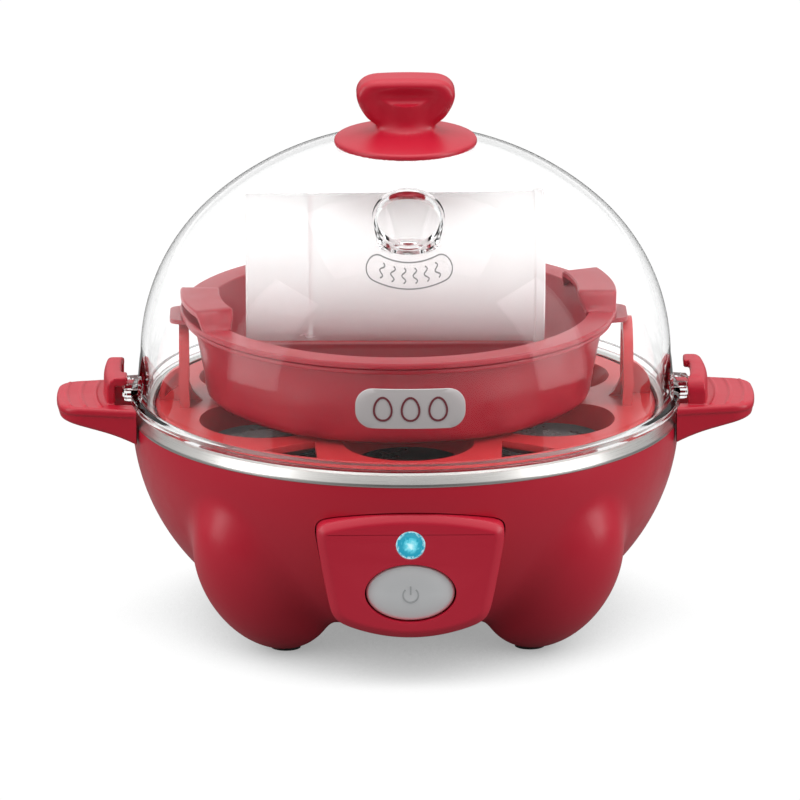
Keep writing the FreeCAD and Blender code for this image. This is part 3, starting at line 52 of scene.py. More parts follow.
def span(node):
    """A node's lowest and highest corner in millimetres."""
    low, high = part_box(node)
    return Vector(low) / MM, Vector(high) / MM


BAND_LOW, BAND_HIGH = span("steel_rim_band")
LID_LOW = span("lid_dome")[0]
KNOB_HIGH = span("lid_knob")[1]
CUP_LOW, CUP_HIGH = span("measuring_cup")
POACH_LOW, POACH_HIGH = span("poaching_tray")
BOWL_LOW, BOWL_HIGH = span("omelette_bowl")
PANEL_LOW, PANEL_HIGH = span("control_panel")
BUTTON_LOW, BUTTON_HIGH = span("power_button")
BUTTON_LEVEL = (BUTTON_LOW.z + BUTTON_HIGH.z) / 2
LENS_LOW, LENS_HIGH = span("led_lens")
LENS_LEVEL = (LENS_LOW.z + LENS_HIGH.z) / 2
BADGE_LOW, BADGE_HIGH = span("lid_badge")
HANDLE_HIGH = span("right_handle")[1]
GLAND_LOW, GLAND_HIGH = span("cord_gland")
GLAND_LEVEL = (GLAND_LOW.z + GLAND_HIGH.z) / 2

RIM_LEVEL = BAND_LOW.z
RIM_RADIUS = BAND_HIGH.y - 0.2
BOWL_ARC = 55.7
FLOOR_LEVEL = 9.0
SHELL_WALL = 2.4
LEG = {"reach": 54.0, "level": 24.6, "half_length": 27.0, "half_width": 18.0,
       "lean": 34.0, "blend": 3.6}
FOOT_RECESS_RADIUS = 4.1
FOOT_RECESS_TOP = 1.6
PANEL_HALF_TOP = 25.7
PANEL_HALF_BOTTOM = 20.8
PANEL_CHIN = 4.97
PANEL_BROW = 3.19
PANEL_SIDE_BOW = 0.25
LENS_RADIUS = 3.85
GRIP_TIP_HALF = 12.9
HOOK_START = -13.8
HOOK_END = 10.6
HOOK_TOP = 69.0
HOOK_OUTER = 81.3
GRIP_ROOT_HALF = 16.4

DOME_TOP = LID_LOW.z + 73.5
DOME_RADIUS = 71.4
DOME_SPRING = 72.8
DOME_SIDE_ARC = 54.0
DOME_SIDE_CENTRE = DOME_RADIUS - DOME_SIDE_ARC
DOME_WALL = 2.0
SKIRT_RADIUS = 72.4
FLANGE_RADIUS = 74.0
VENT_REACH = 42.0
VENT_FLOOR = 113.5
KNOB_DISC_RADIUS = 19.2
KNOB_SEAT_RADIUS = 79.1
WING_RISE = 4.4
POACH_RIM_LEVEL = POACH_HIGH.z - WING_RISE
DISH_SHIFT = (POACH_LOW.x + POACH_HIGH.x) / 2


# ---------------------------------------------------------------- camera, light and floor

VIEW_HEIGHT = 59.4
VIEW_SIDE = -1.5
VIEW_DISTANCE = 6500.0
VIEW_ELEVATION = 16.0
VIEW_AZIMUTH = -1.04
FRAME_WIDTH = 215.6
DARK_GAP = 0.10
WALL_LIGHT = 0.80
CEILING_LIGHT = 1.45
FLOOR_LIGHT = 0.42
SEEN_LIGHT = 1.02
THROUGH_LIGHT = 0.20


def camera():
    lens = bpy.data.cameras.new("camera")
    lens.sensor_width = 36.0
    lens.lens = lens.sensor_width * VIEW_DISTANCE / FRAME_WIDTH
    lens.clip_end = 20.0
    eye = bpy.data.objects.new("camera", lens)
    bpy.context.scene.collection.objects.link(eye)
    target = Vector((VIEW_SIDE, 0, VIEW_HEIGHT)) * MM
    azimuth, elevation = math.radians(VIEW_AZIMUTH), math.radians(VIEW_ELEVATION)
    way = Vector((math.sin(azimuth) * math.cos(elevation), -math.cos(azimuth) * math.cos(elevation),
                  math.sin(elevation)))
    eye.location = target + way * VIEW_DISTANCE * MM
    eye.rotation_euler = (-way).to_track_quat("-Z", "Y").to_euler()
    bpy.context.scene.camera = eye


def softbox(name, place, aim, width, height, power):
    data = bpy.data.lights.new(name, "AREA")
    data.shape = "RECTANGLE"
    data.size = width
    data.size_y = height
    data.energy = power
    lamp = bpy.data.objects.new(name, data)
    lamp.location = place
    lamp.rotation_euler = (Vector(aim) - Vector(place)).to_track_quat("-Z", "Y").to_euler()
    bpy.context.scene.collection.objects.link(lamp)


def studio():
    """White walls and ceiling with a dark gap in front, which metal and gloss mirror."""
    softbox("left_softbox", (-0.95, -0.35, 0.42), (0, 0, 0.06), 0.5, 1.1, 4.2)
    softbox("right_softbox", (0.95, -0.35, 0.42), (0, 0, 0.06), 0.5, 1.1, 5.2)
    softbox("top_softbox", (0, 0.1, 1.25), (0, 0, 0.05), 1.2, 0.9, 4.6)
    world = bpy.data.worlds.new("studio")
    bpy.context.scene.world = world
    world.use_nodes = True
    tree = world.node_tree
    tree.nodes.clear()
    parts = node(tree, "SeparateXYZ")
    tree.links.new(node(tree, "TexCoord").outputs["Generated"], parts.inputs[0])
    x, y, z = parts.outputs
    flat = distance(tree, x, y)
    ahead = maths(tree, "DIVIDE", y, maths(tree, "MAXIMUM", flat, 0.001))
    walls = remap(tree, ahead, -0.96, -0.72, DARK_GAP, WALL_LIGHT)
    share = remap(tree, z, 0.30, 0.75, 0.0, 1.0)
    lit = maths(tree, "ADD", maths(tree, "MULTIPLY", walls, maths(tree, "SUBTRACT", 1.0, share)),
                maths(tree, "MULTIPLY", share, CEILING_LIGHT))
    lighting = node(tree, "Background")
    tree.links.new(lit, lighting.inputs["Strength"])
    seen = node(tree, "Background")
    path = node(tree, "LightPath")
    through = maths(tree, "MULTIPLY", path.outputs["Is Transmission Ray"], THROUGH_LIGHT)
    tree.links.new(maths(tree, "ADD", through, SEEN_LIGHT), seen.inputs["Strength"])
    direct = maths(tree, "MAXIMUM", path.outputs["Is Camera Ray"], path.outputs["Is Transmission Ray"])
    mix = node(tree, "MixShader")
    tree.links.new(direct, mix.inputs["Fac"])
    tree.links.new(lighting.outputs[0], mix.inputs[1])
    tree.links.new(seen.outputs[0], mix.inputs[2])
    output = node(tree, "OutputWorld")
    tree.links.new(mix.outputs[0], output.inputs["Surface"])
    bpy.context.scene.view_settings.view_transform = "Standard"


def floor():
    """A white sheet that darkens softly where the legs and the bowl stand close over it. That darkening is a
    painted contact shadow, an ambient-occlusion ramp on its emission. Other rays see a dimmer painted light
    that fades away from the middle.
    """
    size = 6.0
    mesh = bpy.data.meshes.new("floor")
    corners = [(-size, -size, 0), (size, -size, 0), (size, size, 0), (-size, size, 0)]
    mesh.from_pydata(corners, [], [(0, 1, 2, 3)])
    sheet = bpy.data.objects.new("floor", mesh)
    bpy.context.scene.collection.objects.link(sheet)
    paper = bpy.data.materials.new("studio_paper")
    paper.use_nodes = True
    tree = paper.node_tree
    tree.nodes.clear()
    # Painted contact shadow: the ambient-occlusion value darkens the floor's emission close under the legs
    # and the bowl.
    near = node(tree, "AmbientOcclusion", samples=12)
    near.inputs["Distance"].default_value = 0.06
    shade = near.outputs["AO"]
    painted_shadow_level = remap(tree, shade, 0.02, 0.56, 0.30, 1.02)
    white = node(tree, "Emission")
    path = node(tree, "LightPath")
    through = maths(tree, "MULTIPLY", path.outputs["Is Transmission Ray"], THROUGH_LIGHT)
    lift = maths(tree, "ADD", 1.0, through)
    tree.links.new(maths(tree, "MULTIPLY", painted_shadow_level, lift), white.inputs["Strength"])
    # Painted light for other rays: a dim emission, brighter near the middle and fading outwards, and also
    # darkened by the painted contact shadow.
    parts = node(tree, "SeparateXYZ")
    tree.links.new(node(tree, "TexCoord").outputs["Object"], parts.inputs[0])
    x, y = parts.outputs[:2]
    reach = distance(tree, x, y)
    painted_glow_falloff = remap(tree, reach, 0.09, 0.40, 1.0, 0.35)
    dim = node(tree, "Emission")
    painted_glow_level = maths(tree, "MULTIPLY", maths(tree, "MULTIPLY", shade, painted_glow_falloff), FLOOR_LIGHT)
    tree.links.new(painted_glow_level, dim.inputs["Strength"])
    direct = maths(tree, "MAXIMUM", path.outputs["Is Camera Ray"], path.outputs["Is Transmission Ray"])
    mix = node(tree, "MixShader")
    tree.links.new(direct, mix.inputs["Fac"])
    tree.links.new(dim.outputs[0], mix.inputs[1])
    tree.links.new(white.outputs[0], mix.inputs[2])
    output = node(tree, "OutputMaterial")
    tree.links.new(mix.outputs[0], output.inputs["Surface"])
    mesh.materials.append(paper)


# ---------------------------------------------------------------- mesh helpers

def raw_mesh(name, points, faces):
    """A mesh in metres from millimetre points."""
    mesh = bpy.data.meshes.new(name)
    places = np.asarray(points, float) * MM
    mesh.from_pydata([tuple(place) for place in places], [], [tuple(face) for face in faces])
    return mesh


def piece(name, points, faces, body, material, stands_for=(), smooth_angle=35):
    """A finished mesh object from millimetre points, riding on a body."""
    return finish_piece(name, raw_mesh(name, points, faces), body, material, stands_for, smooth_angle)


def finish_piece(name, mesh, body, material, stands_for=(), smooth_angle=35):
    work = bmesh.new()
    work.from_mesh(mesh)
    bmesh.ops.remove_doubles(work, verts=work.verts, dist=1e-7)
    bmesh.ops.recalc_face_normals(work, faces=work.faces)
    work.to_mesh(mesh)
    work.free()
    mesh.shade_smooth()
    mesh.set_sharp_from_angle(angle=math.radians(smooth_angle))
    mesh.materials.clear()
    mesh.materials.append(material)
    thing = bpy.data.objects.new(name, mesh)
    bpy.context.scene.collection.objects.link(thing)
    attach(thing, body)
    if stands_for:
        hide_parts(*stands_for)
    return thing


def rounded(corners, closed=True, steps=5):
    """Rounds the corners of an outline: each corner is (x, y) or (x, y, radius)."""
    result = []
    count = len(corners)
    for index, corner in enumerate(corners):
        here = np.array(corner[:2], float)
        if len(corner) < 3 or (not closed and index in (0, count - 1)):
            result.append(here)
            continue
        before = np.array(corners[index - 1][:2], float)
        after = np.array(corners[(index + 1) % count][:2], float)
        back, ahead = before - here, after - here
        back_length, ahead_length = np.linalg.norm(back), np.linalg.norm(ahead)
        back, ahead = back / back_length, ahead / ahead_length
        angle = math.acos(np.clip(back @ ahead, -1, 1))
        if angle > math.pi - 1e-3:
            result.append(here)
            continue
        reach = min(corner[2] / math.tan(angle / 2), 0.49 * back_length, 0.49 * ahead_length)
        radius = reach * math.tan(angle / 2)
        middle = (back + ahead) / np.linalg.norm(back + ahead)
        centre = here + middle * math.hypot(reach, radius)
        first = here + back * reach - centre
        last = here + ahead * reach - centre
        sweep = math.atan2(first[0] * last[1] - first[1] * last[0], first @ last)
        for step in range(steps + 1):
            turn = sweep * step / steps
            result.append(centre + np.array((first[0] * math.cos(turn) - first[1] * math.sin(turn),
                                             first[0] * math.sin(turn) + first[1] * math.cos(turn))))
    return result


def arc(centre, radius, start, end, steps):
    """Points on an arc, with its angles in degrees from the first axis."""
    return [(centre[0] + radius * math.cos(math.radians(start + (end - start) * step / steps)),
             centre[1] + radius * math.sin(math.radians(start + (end - start) * step / steps)))
            for step in range(steps + 1)]


def turned_mesh(profile, steps):
    """Points and faces of a profile of (radius, level) turned about the Z axis."""
    points = []
    rings = []
    for radius, level in profile:
        if radius < 1e-6:
            rings.append([len(points)])
            points.append((0, 0, level))
            continue
        rings.append(list(range(len(points), len(points) + steps)))
        turns = [2 * math.pi * step / steps for step in range(steps)]
        points += [(radius * math.cos(turn), radius * math.sin(turn), level) for turn in turns]
    pairs = list(zip(rings, rings[1:]))
    if not (len(rings[0]) == 1 and len(rings[-1]) == 1):
        pairs.append((rings[-1], rings[0]))
    faces = []
    for lower, upper in pairs:
        for step in range(steps):
            following = (step + 1) % steps
            if len(lower) == 1 and len(upper) == 1:
                continue
            if len(lower) == 1:
                faces.append((lower[0], upper[following], upper[step]))
            elif len(upper) == 1:
                faces.append((lower[step], lower[following], upper[0]))
            else:
                faces.append((lower[step], lower[following], upper[following], upper[step]))
    return points, faces


def lofted_mesh(rings):
    """Points and faces that join rings of equal length one after another, closed at both ends."""
    size = len(rings[0])
    points = [tuple(point) for ring in rings for point in ring]
    faces = []
    for index in range(len(rings) - 1):
        low, high = index * size, (index + 1) * size
        for step in range(size):
            following = (step + 1) % size
            faces.append((low + step, low + following, high + following, high + step))
    faces.append(tuple(range(size))[::-1])
    faces.append(tuple(range((len(rings) - 1) * size, len(rings) * size)))
    return points, faces


def cutter(points, faces):
    """A temporary object for one boolean step."""
    mesh = raw_mesh("cutter", points, faces)
    work = bmesh.new()
    work.from_mesh(mesh)
    bmesh.ops.recalc_face_normals(work, faces=work.faces)
    bmesh.ops.triangulate(work, faces=work.faces)
    work.to_mesh(mesh)
    work.free()
    thing = bpy.data.objects.new("cutter", mesh)
    bpy.context.scene.collection.objects.link(thing)
    return thing


def carved(base, steps):
    """The mesh of a base solid after a list of (operation, solid) boolean steps."""
    subject = cutter(*base)
    tools = [cutter(*solid) for operation, solid in steps]
    for (operation, solid), tool in zip(steps, tools):
        change = subject.modifiers.new(operation, "BOOLEAN")
        change.operation = operation
        change.solver = "MANIFOLD"
        change.object = tool
    bpy.context.view_layer.update()
    graph = bpy.context.evaluated_depsgraph_get()
    mesh = bpy.data.meshes.new_from_object(subject.evaluated_get(graph))
    for thing in [subject] + tools:
        data = thing.data
        bpy.data.objects.remove(thing)
        bpy.data.meshes.remove(data)
    return mesh


def block(low, high):
    points = [(x, y, z) for x in (low[0], high[0]) for y in (low[1], high[1]) for z in (low[2], high[2])]
    return points, [(0, 1, 3, 2), (4, 6, 7, 5), (0, 4, 5, 1), (2, 3, 7, 6), (0, 2, 6, 4), (1, 5, 7, 3)]


def drum(radius, low, high, centre=(0, 0), steps=96):
    """An upright round solid for boolean steps."""
    points, faces = turned_mesh([(0, low), (radius, low), (radius, high), (0, high)], steps)
    return [(x + centre[0], y + centre[1], z) for x, y, z in points], faces


def moved(solid, matrix):
    points, faces = solid
    return [tuple(matrix @ Vector(point)) for point in points], faces


# ---------------------------------------------------------------- sculpted solids from distance fields

def soft_min(a, b, width):
    share = np.clip(0.5 + 0.5 * (b - a) / width, 0, 1)
    return b * (1 - share) + a * share - width * share * (1 - share)


def soft_max(a, b, width):
    return -soft_min(-a, -b, width)


def sculpt(field, low, high, step):
    """Points and faces on the zero surface of a field of millimetre points, drawn by surface nets."""
    axes = [np.arange(a, b + step, step) for a, b in zip(low, high)]
    x, y, z = np.meshgrid(*axes, indexing="ij")
    value = field(x, y, z)
    inside = value < 0
    corners = [(i, j, k) for i in (0, 1) for j in (0, 1) for k in (0, 1)]
    shape = tuple(size - 1 for size in value.shape)

    def part_of(array, shift):
        return array[tuple(slice(start, start + size) for start, size in zip(shift, shape))]

    total = np.zeros(shape + (3,))
    crossings = np.zeros(shape)
    for a in corners:
        for b in corners:
            if sum(b) - sum(a) != 1 or sum(abs(p - q) for p, q in zip(a, b)) != 1:
                continue
            first, last = part_of(value, a), part_of(value, b)
            crossed = (first < 0) != (last < 0)
            share = np.where(crossed, first / np.where(crossed, first - last, 1), 0)
            for axis in range(3):
                total[..., axis] += np.where(crossed, a[axis] + (b[axis] - a[axis]) * share, 0)
            crossings += crossed
    live = crossings > 0
    cell = np.argwhere(live)
    place = (cell + total[live] / crossings[live][:, None]) * step + np.array(low)
    number = -np.ones(shape, int)
    number[live] = np.arange(len(cell))
    faces = []
    for axis in range(3):
        side, other = [n for n in range(3) if n != axis]
        near = [slice(1, -1)] * 3
        far = [slice(1, -1)] * 3
        near[axis] = slice(0, -1)
        far[axis] = slice(1, None)
        here, there = inside[tuple(near)], inside[tuple(far)]
        spot = np.argwhere(here != there)
        outward = here[here != there]
        spot[:, side] += 1
        spot[:, other] += 1
        ring = []
        for move_side, move_other in ((1, 1), (0, 1), (0, 0), (1, 0)):
            cells = spot.copy()
            cells[:, side] -= move_side
            cells[:, other] -= move_other
            ring.append(number[cells[:, 0], cells[:, 1], cells[:, 2]])
        quad = np.stack(ring, axis=1)
        flip = outward if axis != 1 else ~outward
        quad[~flip] = quad[~flip][:, ::-1]
        faces.append(quad)
    small = step * 0.05
    for _ in range(3):
        here = field(*place.T)
        slope = np.stack([(field(*(place + shift).T) - field(*(place - shift).T)) / (2 * small)
                          for shift in np.eye(3) * small], axis=1)
        change = -here[:, None] * slope / np.maximum((slope ** 2).sum(axis=1), 0.05)[:, None]
        place += np.clip(change, -step / 2, step / 2)
    return place, np.concatenate(faces)


# ---------------------------------------------------------------- node groups that materials share

def group(name, inputs, outputs):
    tree = bpy.data.node_groups.new(name, "ShaderNodeTree")
    for label, kind, value in inputs:
        socket = tree.interface.new_socket(label, in_out="INPUT", socket_type=kind)
        socket.default_value = value
    for label, kind in outputs:
        tree.interface.new_socket(label, in_out="OUTPUT", socket_type=kind)
    return tree, tree.nodes.new("NodeGroupInput"), tree.nodes.new("NodeGroupOutput")


def node(tree, kind, **settings):
    made = tree.nodes.new("ShaderNode" + kind)
    for key, value in settings.items():
        setattr(made, key, value)
    return made


def maths(tree, operation, first, second=None):
    made = node(tree, "Math", operation=operation)
    for index, value in enumerate((first, second)):
        if value is None:
            continue
        if hasattr(value, "links"):
            tree.links.new(value, made.inputs[index])
        else:
            made.inputs[index].default_value = value
    return made.outputs[0]


def distance(tree, first, second):
    """The length of the two values taken as the sides of a right angle."""
    squares = [maths(tree, "MULTIPLY", value, value) for value in (first, second)]
    return maths(tree, "SQRT", maths(tree, "ADD", *squares))


def noise(tree, vector, scale, detail=2.0, roughness=0.5):
    made = node(tree, "TexNoise")
    made.inputs["Detail"].default_value = detail
    made.inputs["Roughness"].default_value = roughness
    if hasattr(scale, "links"):
        tree.links.new(scale, made.inputs["Scale"])
    else:
        made.inputs["Scale"].default_value = scale
    tree.links.new(vector, made.inputs["Vector"])
    return made.outputs["Fac"]


def remap(tree, value, low, high, new_low, new_high):
    made = node(tree, "MapRange")
    for index, item in enumerate((value, low, high, new_low, new_high)):
        if hasattr(item, "links"):
            tree.links.new(item, made.inputs[index])
        else:
            made.inputs[index].default_value = item
    return made.outputs[0]


def moulded_skin_group():
    """Fine mould texture, slow colour drift and handling marks of a moulded plastic skin."""
    tree, given, result = group("moulded_skin", [
        ("Color", "NodeSocketColor", (0.4, 0.02, 0.04, 1)), ("Drift", "NodeSocketFloat", 0.06),
        ("Grain Scale", "NodeSocketFloat", 1800.0), ("Grain Depth", "NodeSocketFloat", 0.3),
        ("Roughness", "NodeSocketFloat", 0.35), ("Handling", "NodeSocketFloat", 0.08)],
        [("Color", "NodeSocketColor"), ("Roughness", "NodeSocketFloat"), ("Height", "NodeSocketFloat")])
    place = node(tree, "TexCoord").outputs["Object"]
    slow = noise(tree, place, 22.0, 3.0)
    fine = noise(tree, place, given.outputs["Grain Scale"], 3.0, 0.6)
    smudge = noise(tree, place, 70.0, 4.0, 0.65)
    shift = maths(tree, "MULTIPLY", maths(tree, "SUBTRACT", slow, 0.5), given.outputs["Drift"])
    level = maths(tree, "ADD", shift, 1.0)
    tint = node(tree, "HueSaturation")
    tree.links.new(given.outputs["Color"], tint.inputs["Color"])
    tree.links.new(level, tint.inputs["Value"])
    rub = maths(tree, "MULTIPLY", remap(tree, smudge, 0.45, 0.75, -0.3, 1.0), given.outputs["Handling"])
    tree.links.new(tint.outputs["Color"], result.inputs["Color"])
    tree.links.new(maths(tree, "ADD", given.outputs["Roughness"], rub), result.inputs["Roughness"])
    tree.links.new(maths(tree, "MULTIPLY", fine, given.outputs["Grain Depth"]), result.inputs["Height"])
    return tree


def edge_light_group():
    """Brightens worn outer edges in broken patches, from the surface's own curvature."""
    tree, given, result = group("edge_wear", [
        ("Color", "NodeSocketColor", (0.4, 0.02, 0.04, 1)),
        ("Worn Color", "NodeSocketColor", (0.6, 0.1, 0.12, 1)),
        ("Amount", "NodeSocketFloat", 0.25)],
        [("Color", "NodeSocketColor"), ("Mask", "NodeSocketFloat")])
    curve = node(tree, "NewGeometry").outputs["Pointiness"]
    place = node(tree, "TexCoord").outputs["Object"]
    broken = noise(tree, place, 240.0, 4.0, 0.7)
    edge = remap(tree, curve, 0.52, 0.6, 0.0, 1.0)
    mask = maths(tree, "MULTIPLY", maths(tree, "MULTIPLY", edge, broken), given.outputs["Amount"])
    mix = node(tree, "Mix", data_type="RGBA")
    tree.links.new(mask, mix.inputs["Factor"])
    tree.links.new(given.outputs["Color"], mix.inputs["A"])
    tree.links.new(given.outputs["Worn Color"], mix.inputs["B"])
    tree.links.new(mix.outputs["Result"], result.inputs["Color"])
    tree.links.new(mask, result.inputs["Mask"])
    return tree


def brushed_ring_group():
    """Fine lines that run round the Z axis, as a spun or brushed ring has."""
    tree, given, result = group("brushed_ring", [
        ("Color", "NodeSocketColor", (0.6, 0.59, 0.57, 1)), ("Contrast", "NodeSocketFloat", 0.25),
        ("Roughness", "NodeSocketFloat", 0.3)],
        [("Color", "NodeSocketColor"), ("Roughness", "NodeSocketFloat"), ("Height", "NodeSocketFloat")])
    parts = node(tree, "SeparateXYZ")
    tree.links.new(node(tree, "TexCoord").outputs["Object"], parts.inputs[0])
    x, y, z = parts.outputs
    turn = maths(tree, "ARCTAN2", y, x)
    reach = distance(tree, x, y)
    lines = node(tree, "CombineXYZ")
    tree.links.new(maths(tree, "MULTIPLY", turn, 5.0), lines.inputs[0])
    tree.links.new(maths(tree, "MULTIPLY", z, 9000.0), lines.inputs[1])
    tree.links.new(maths(tree, "MULTIPLY", reach, 9000.0), lines.inputs[2])
    streak = noise(tree, lines.outputs[0], 1.0, 4.0, 0.7)
    patch = node(tree, "CombineXYZ")
    tree.links.new(maths(tree, "MULTIPLY", turn, 2.5), patch.inputs[0])
    tree.links.new(maths(tree, "MULTIPLY", z, 30.0), patch.inputs[1])
    broad = noise(tree, patch.outputs[0], 1.0, 2.0)
    both = maths(tree, "ADD", maths(tree, "MULTIPLY", streak, 0.65), maths(tree, "MULTIPLY", broad, 0.35))
    swing = maths(tree, "MULTIPLY", maths(tree, "SUBTRACT", both, 0.5), given.outputs["Contrast"])
    tint = node(tree, "HueSaturation")
    tree.links.new(given.outputs["Color"], tint.inputs["Color"])
    tree.links.new(maths(tree, "ADD", maths(tree, "MULTIPLY", swing, 2.0), 1.0), tint.inputs["Value"])
    tree.links.new(tint.outputs["Color"], result.inputs["Color"])
    tree.links.new(maths(tree, "ADD", given.outputs["Roughness"], swing), result.inputs["Roughness"])
    tree.links.new(streak, result.inputs["Height"])
    return tree


SKIN = moulded_skin_group()
EDGE = edge_light_group()
BRUSHED = brushed_ring_group()


def material(name, settings):
    """An empty node material with its Principled shader set up."""
    made = bpy.data.materials.new(name)
    made.use_nodes = True
    shader = made.node_tree.nodes["Principled BSDF"]
    for key, value in settings.items():
        shader.inputs[key].default_value = value
    return made, made.node_tree, shader


def use_group(tree, shared, values):
    made = tree.nodes.new("ShaderNodeGroup")
    made.node_tree = shared
    for key, value in values.items():
        made.inputs[key].default_value = value
    return made


def bump(tree, height, shader, distance, strength=1.0):
    made = node(tree, "Bump")
    made.inputs["Distance"].default_value = distance
    made.inputs["Strength"].default_value = strength
    tree.links.new(height, made.inputs["Height"])
    tree.links.new(made.outputs["Normal"], shader.inputs["Normal"])


def moulded(name, color, roughness, grain_depth=0.3, drift=0.06, handling=0.08, wear=0.2,
            grain_scale=1800.0, **more):
    """Moulded plastic or rubber: a grained skin with slightly worn edges."""
    settings = {"IOR": 1.5}
    settings.update(more)
    made, tree, shader = material(name, settings)
    skin = use_group(tree, SKIN, {"Color": color + (1,), "Drift": drift, "Grain Scale": grain_scale,
                                  "Grain Depth": grain_depth, "Roughness": roughness, "Handling": handling})
    pale = tuple(min(1.0, channel * 1.25 + 0.05) for channel in color)
    edge = use_group(tree, EDGE, {"Worn Color": pale + (1,), "Amount": wear})
    tree.links.new(skin.outputs["Color"], edge.inputs["Color"])
    tree.links.new(edge.outputs["Color"], shader.inputs["Base Color"])
    tree.links.new(skin.outputs["Roughness"], shader.inputs["Roughness"])
    bump(tree, skin.outputs["Height"], shader, 0.00003, 0.5)
    return made


def metal(name, color, roughness, contrast=0.25, **more):
    """Brushed or turned metal with lines round the Z axis."""
    settings = {"Metallic": 1.0}
    settings.update(more)
    made, tree, shader = material(name, settings)
    brushed = use_group(tree, BRUSHED, {"Color": color + (1,), "Contrast": contrast, "Roughness": roughness})
    tree.links.new(brushed.outputs["Color"], shader.inputs["Base Color"])
    tree.links.new(brushed.outputs["Roughness"], shader.inputs["Roughness"])
    bump(tree, brushed.outputs["Height"], shader, 0.00001, 0.4)
    return made


RED_BODY = moulded("red_body_plastic", (0.50, 0.0065, 0.027), 0.36)
RED_PANEL = moulded("red_panel_plastic", (0.52, 0.009, 0.033), 0.38)
RED_TRAY = moulded("red_tray_plastic", (0.56, 0.030, 0.036), 0.30, drift=0.08)
RED_DISH = moulded("red_dish_plastic", (0.29, 0.005, 0.016), 0.30, drift=0.06)
STEEL_BAND = metal("brushed_band_steel", (0.62, 0.61, 0.59), 0.30, 0.35)
PLATED_STEEL = metal("plated_steel", (0.62, 0.62, 0.62), 0.35, 0.2)
ALUMINIUM = metal("mill_aluminium", (0.74, 0.75, 0.76), 0.42, 0.2)
ELEMENT = metal("heat_darkened_sheath", (0.20, 0.18, 0.16), 0.5, 0.3)
NONSTICK = moulded("nonstick_coating", (0.035, 0.048, 0.046), 0.30, 0.5, 0.15, 0.15, 0.3)
DARK_RUBBER = moulded("dark_rubber", (0.016, 0.014, 0.014), 0.72, 0.8, 0.1, 0.1, 0.1, 900.0)
SILICONE = moulded("silicone_seal", (0.62, 0.61, 0.58), 0.55, 0.4)
BLACK_COVER = moulded("black_cover_plastic", (0.02, 0.02, 0.022), 0.5, 0.8, 0.1, 0.1, 0.15, 1200.0)
IVORY = moulded("ivory_plastic", (0.72, 0.68, 0.56), 0.45)
WIRE_SLEEVE = moulded("wire_sleeve", (0.70, 0.68, 0.64), 0.7, 1.0, 0.1, 0.05, 0.0, 2500.0)
BOARD = moulded("circuit_board", (0.02, 0.13, 0.06), 0.35, 0.4)
LAMP_WHITE = moulded("lamp_diode", (0.85, 0.92, 0.94), 0.2, 0.1)


def clear_plastic(name, color, roughness, ior, transmission, scratches, passing):
    """Clear or frosted plastic with fine scuffs. Light that falls through is dimmed to the passing share."""
    made, tree, shader = material(name, {"Transmission Weight": transmission, "IOR": ior, "Metallic": 0.0})
    skin = use_group(tree, SKIN, {"Color": color + (1,), "Drift": 0.02, "Grain Scale": 600.0,
                                  "Grain Depth": 0.2, "Roughness": roughness, "Handling": scratches})
    tree.links.new(skin.outputs["Color"], shader.inputs["Base Color"])
    tree.links.new(skin.outputs["Roughness"], shader.inputs["Roughness"])
    clear = node(tree, "BsdfTransparent")
    clear.inputs["Color"].default_value = (passing, passing, passing, 1)
    mix = node(tree, "MixShader")
    tree.links.new(node(tree, "LightPath").outputs["Is Shadow Ray"], mix.inputs["Fac"])
    tree.links.new(shader.outputs[0], mix.inputs[1])
    tree.links.new(clear.outputs[0], mix.inputs[2])
    tree.links.new(mix.outputs[0], tree.nodes["Material Output"].inputs["Surface"])
    return made


CLEAR_LID = clear_plastic("clear_polycarbonate", (0.995, 0.998, 0.998), 0.01, 1.24, 1.0, 0.006, 0.96)
FROSTED = clear_plastic("frosted_polypropylene", (0.86, 0.845, 0.845), 0.24, 1.2, 0.5, 0.04, 0.92)


def satin_button_material():
    made, tree, shader = material("satin_button_metal", {"Metallic": 0.55})
    skin = use_group(tree, SKIN, {"Color": (0.82, 0.83, 0.84, 1), "Drift": 0.05, "Grain Scale": 2600.0,
                                  "Grain Depth": 0.3, "Roughness": 0.36, "Handling": 0.05})
    tree.links.new(skin.outputs["Color"], shader.inputs["Base Color"])
    tree.links.new(skin.outputs["Roughness"], shader.inputs["Roughness"])
    bump(tree, skin.outputs["Height"], shader, 0.00002, 0.4)
    return made


def jewel_material():
    """A lit cyan jewel: a white-hot middle that breaks up into facets of cyan."""
    made, tree, shader = material("lit_cyan_jewel", {"Base Color": (0.01, 0.05, 0.06, 1), "Roughness": 0.12,
                                                     "Emission Strength": 0.95})
    parts = node(tree, "SeparateXYZ")
    tree.links.new(node(tree, "TexCoord").outputs["Object"], parts.inputs[0])
    side = parts.outputs[0]
    rise = maths(tree, "SUBTRACT", parts.outputs[2], LENS_LEVEL * MM)
    share = maths(tree, "DIVIDE", distance(tree, side, rise), LENS_RADIUS * MM)
    cells = node(tree, "TexVoronoi")
    cells.inputs["Scale"].default_value = 1500.0
    tree.links.new(node(tree, "TexCoord").outputs["Object"], cells.inputs["Vector"])
    shimmer = maths(tree, "MULTIPLY", maths(tree, "SUBTRACT", cells.outputs["Color"], 0.5), 0.55)
    ramp = node(tree, "ValToRGB")
    stops = ramp.color_ramp
    stops.elements[0].position = 0.06
    stops.elements[0].color = (0.62, 0.95, 1.0, 1)
    stops.elements[1].position = 1.0
    stops.elements[1].color = (0.45, 0.80, 0.88, 1)
    for position, color in ((0.34, (0.14, 0.66, 0.80, 1)), (0.60, (0.012, 0.33, 0.47, 1)),
                            (0.86, (0.010, 0.30, 0.44, 1))):
        stop = stops.elements.new(position)
        stop.color = color
    mixed = maths(tree, "ADD", share, maths(tree, "MULTIPLY", shimmer, 0.5))
    tree.links.new(mixed, ramp.inputs["Fac"])
    tree.links.new(ramp.outputs["Color"], shader.inputs["Emission Color"])
    return made


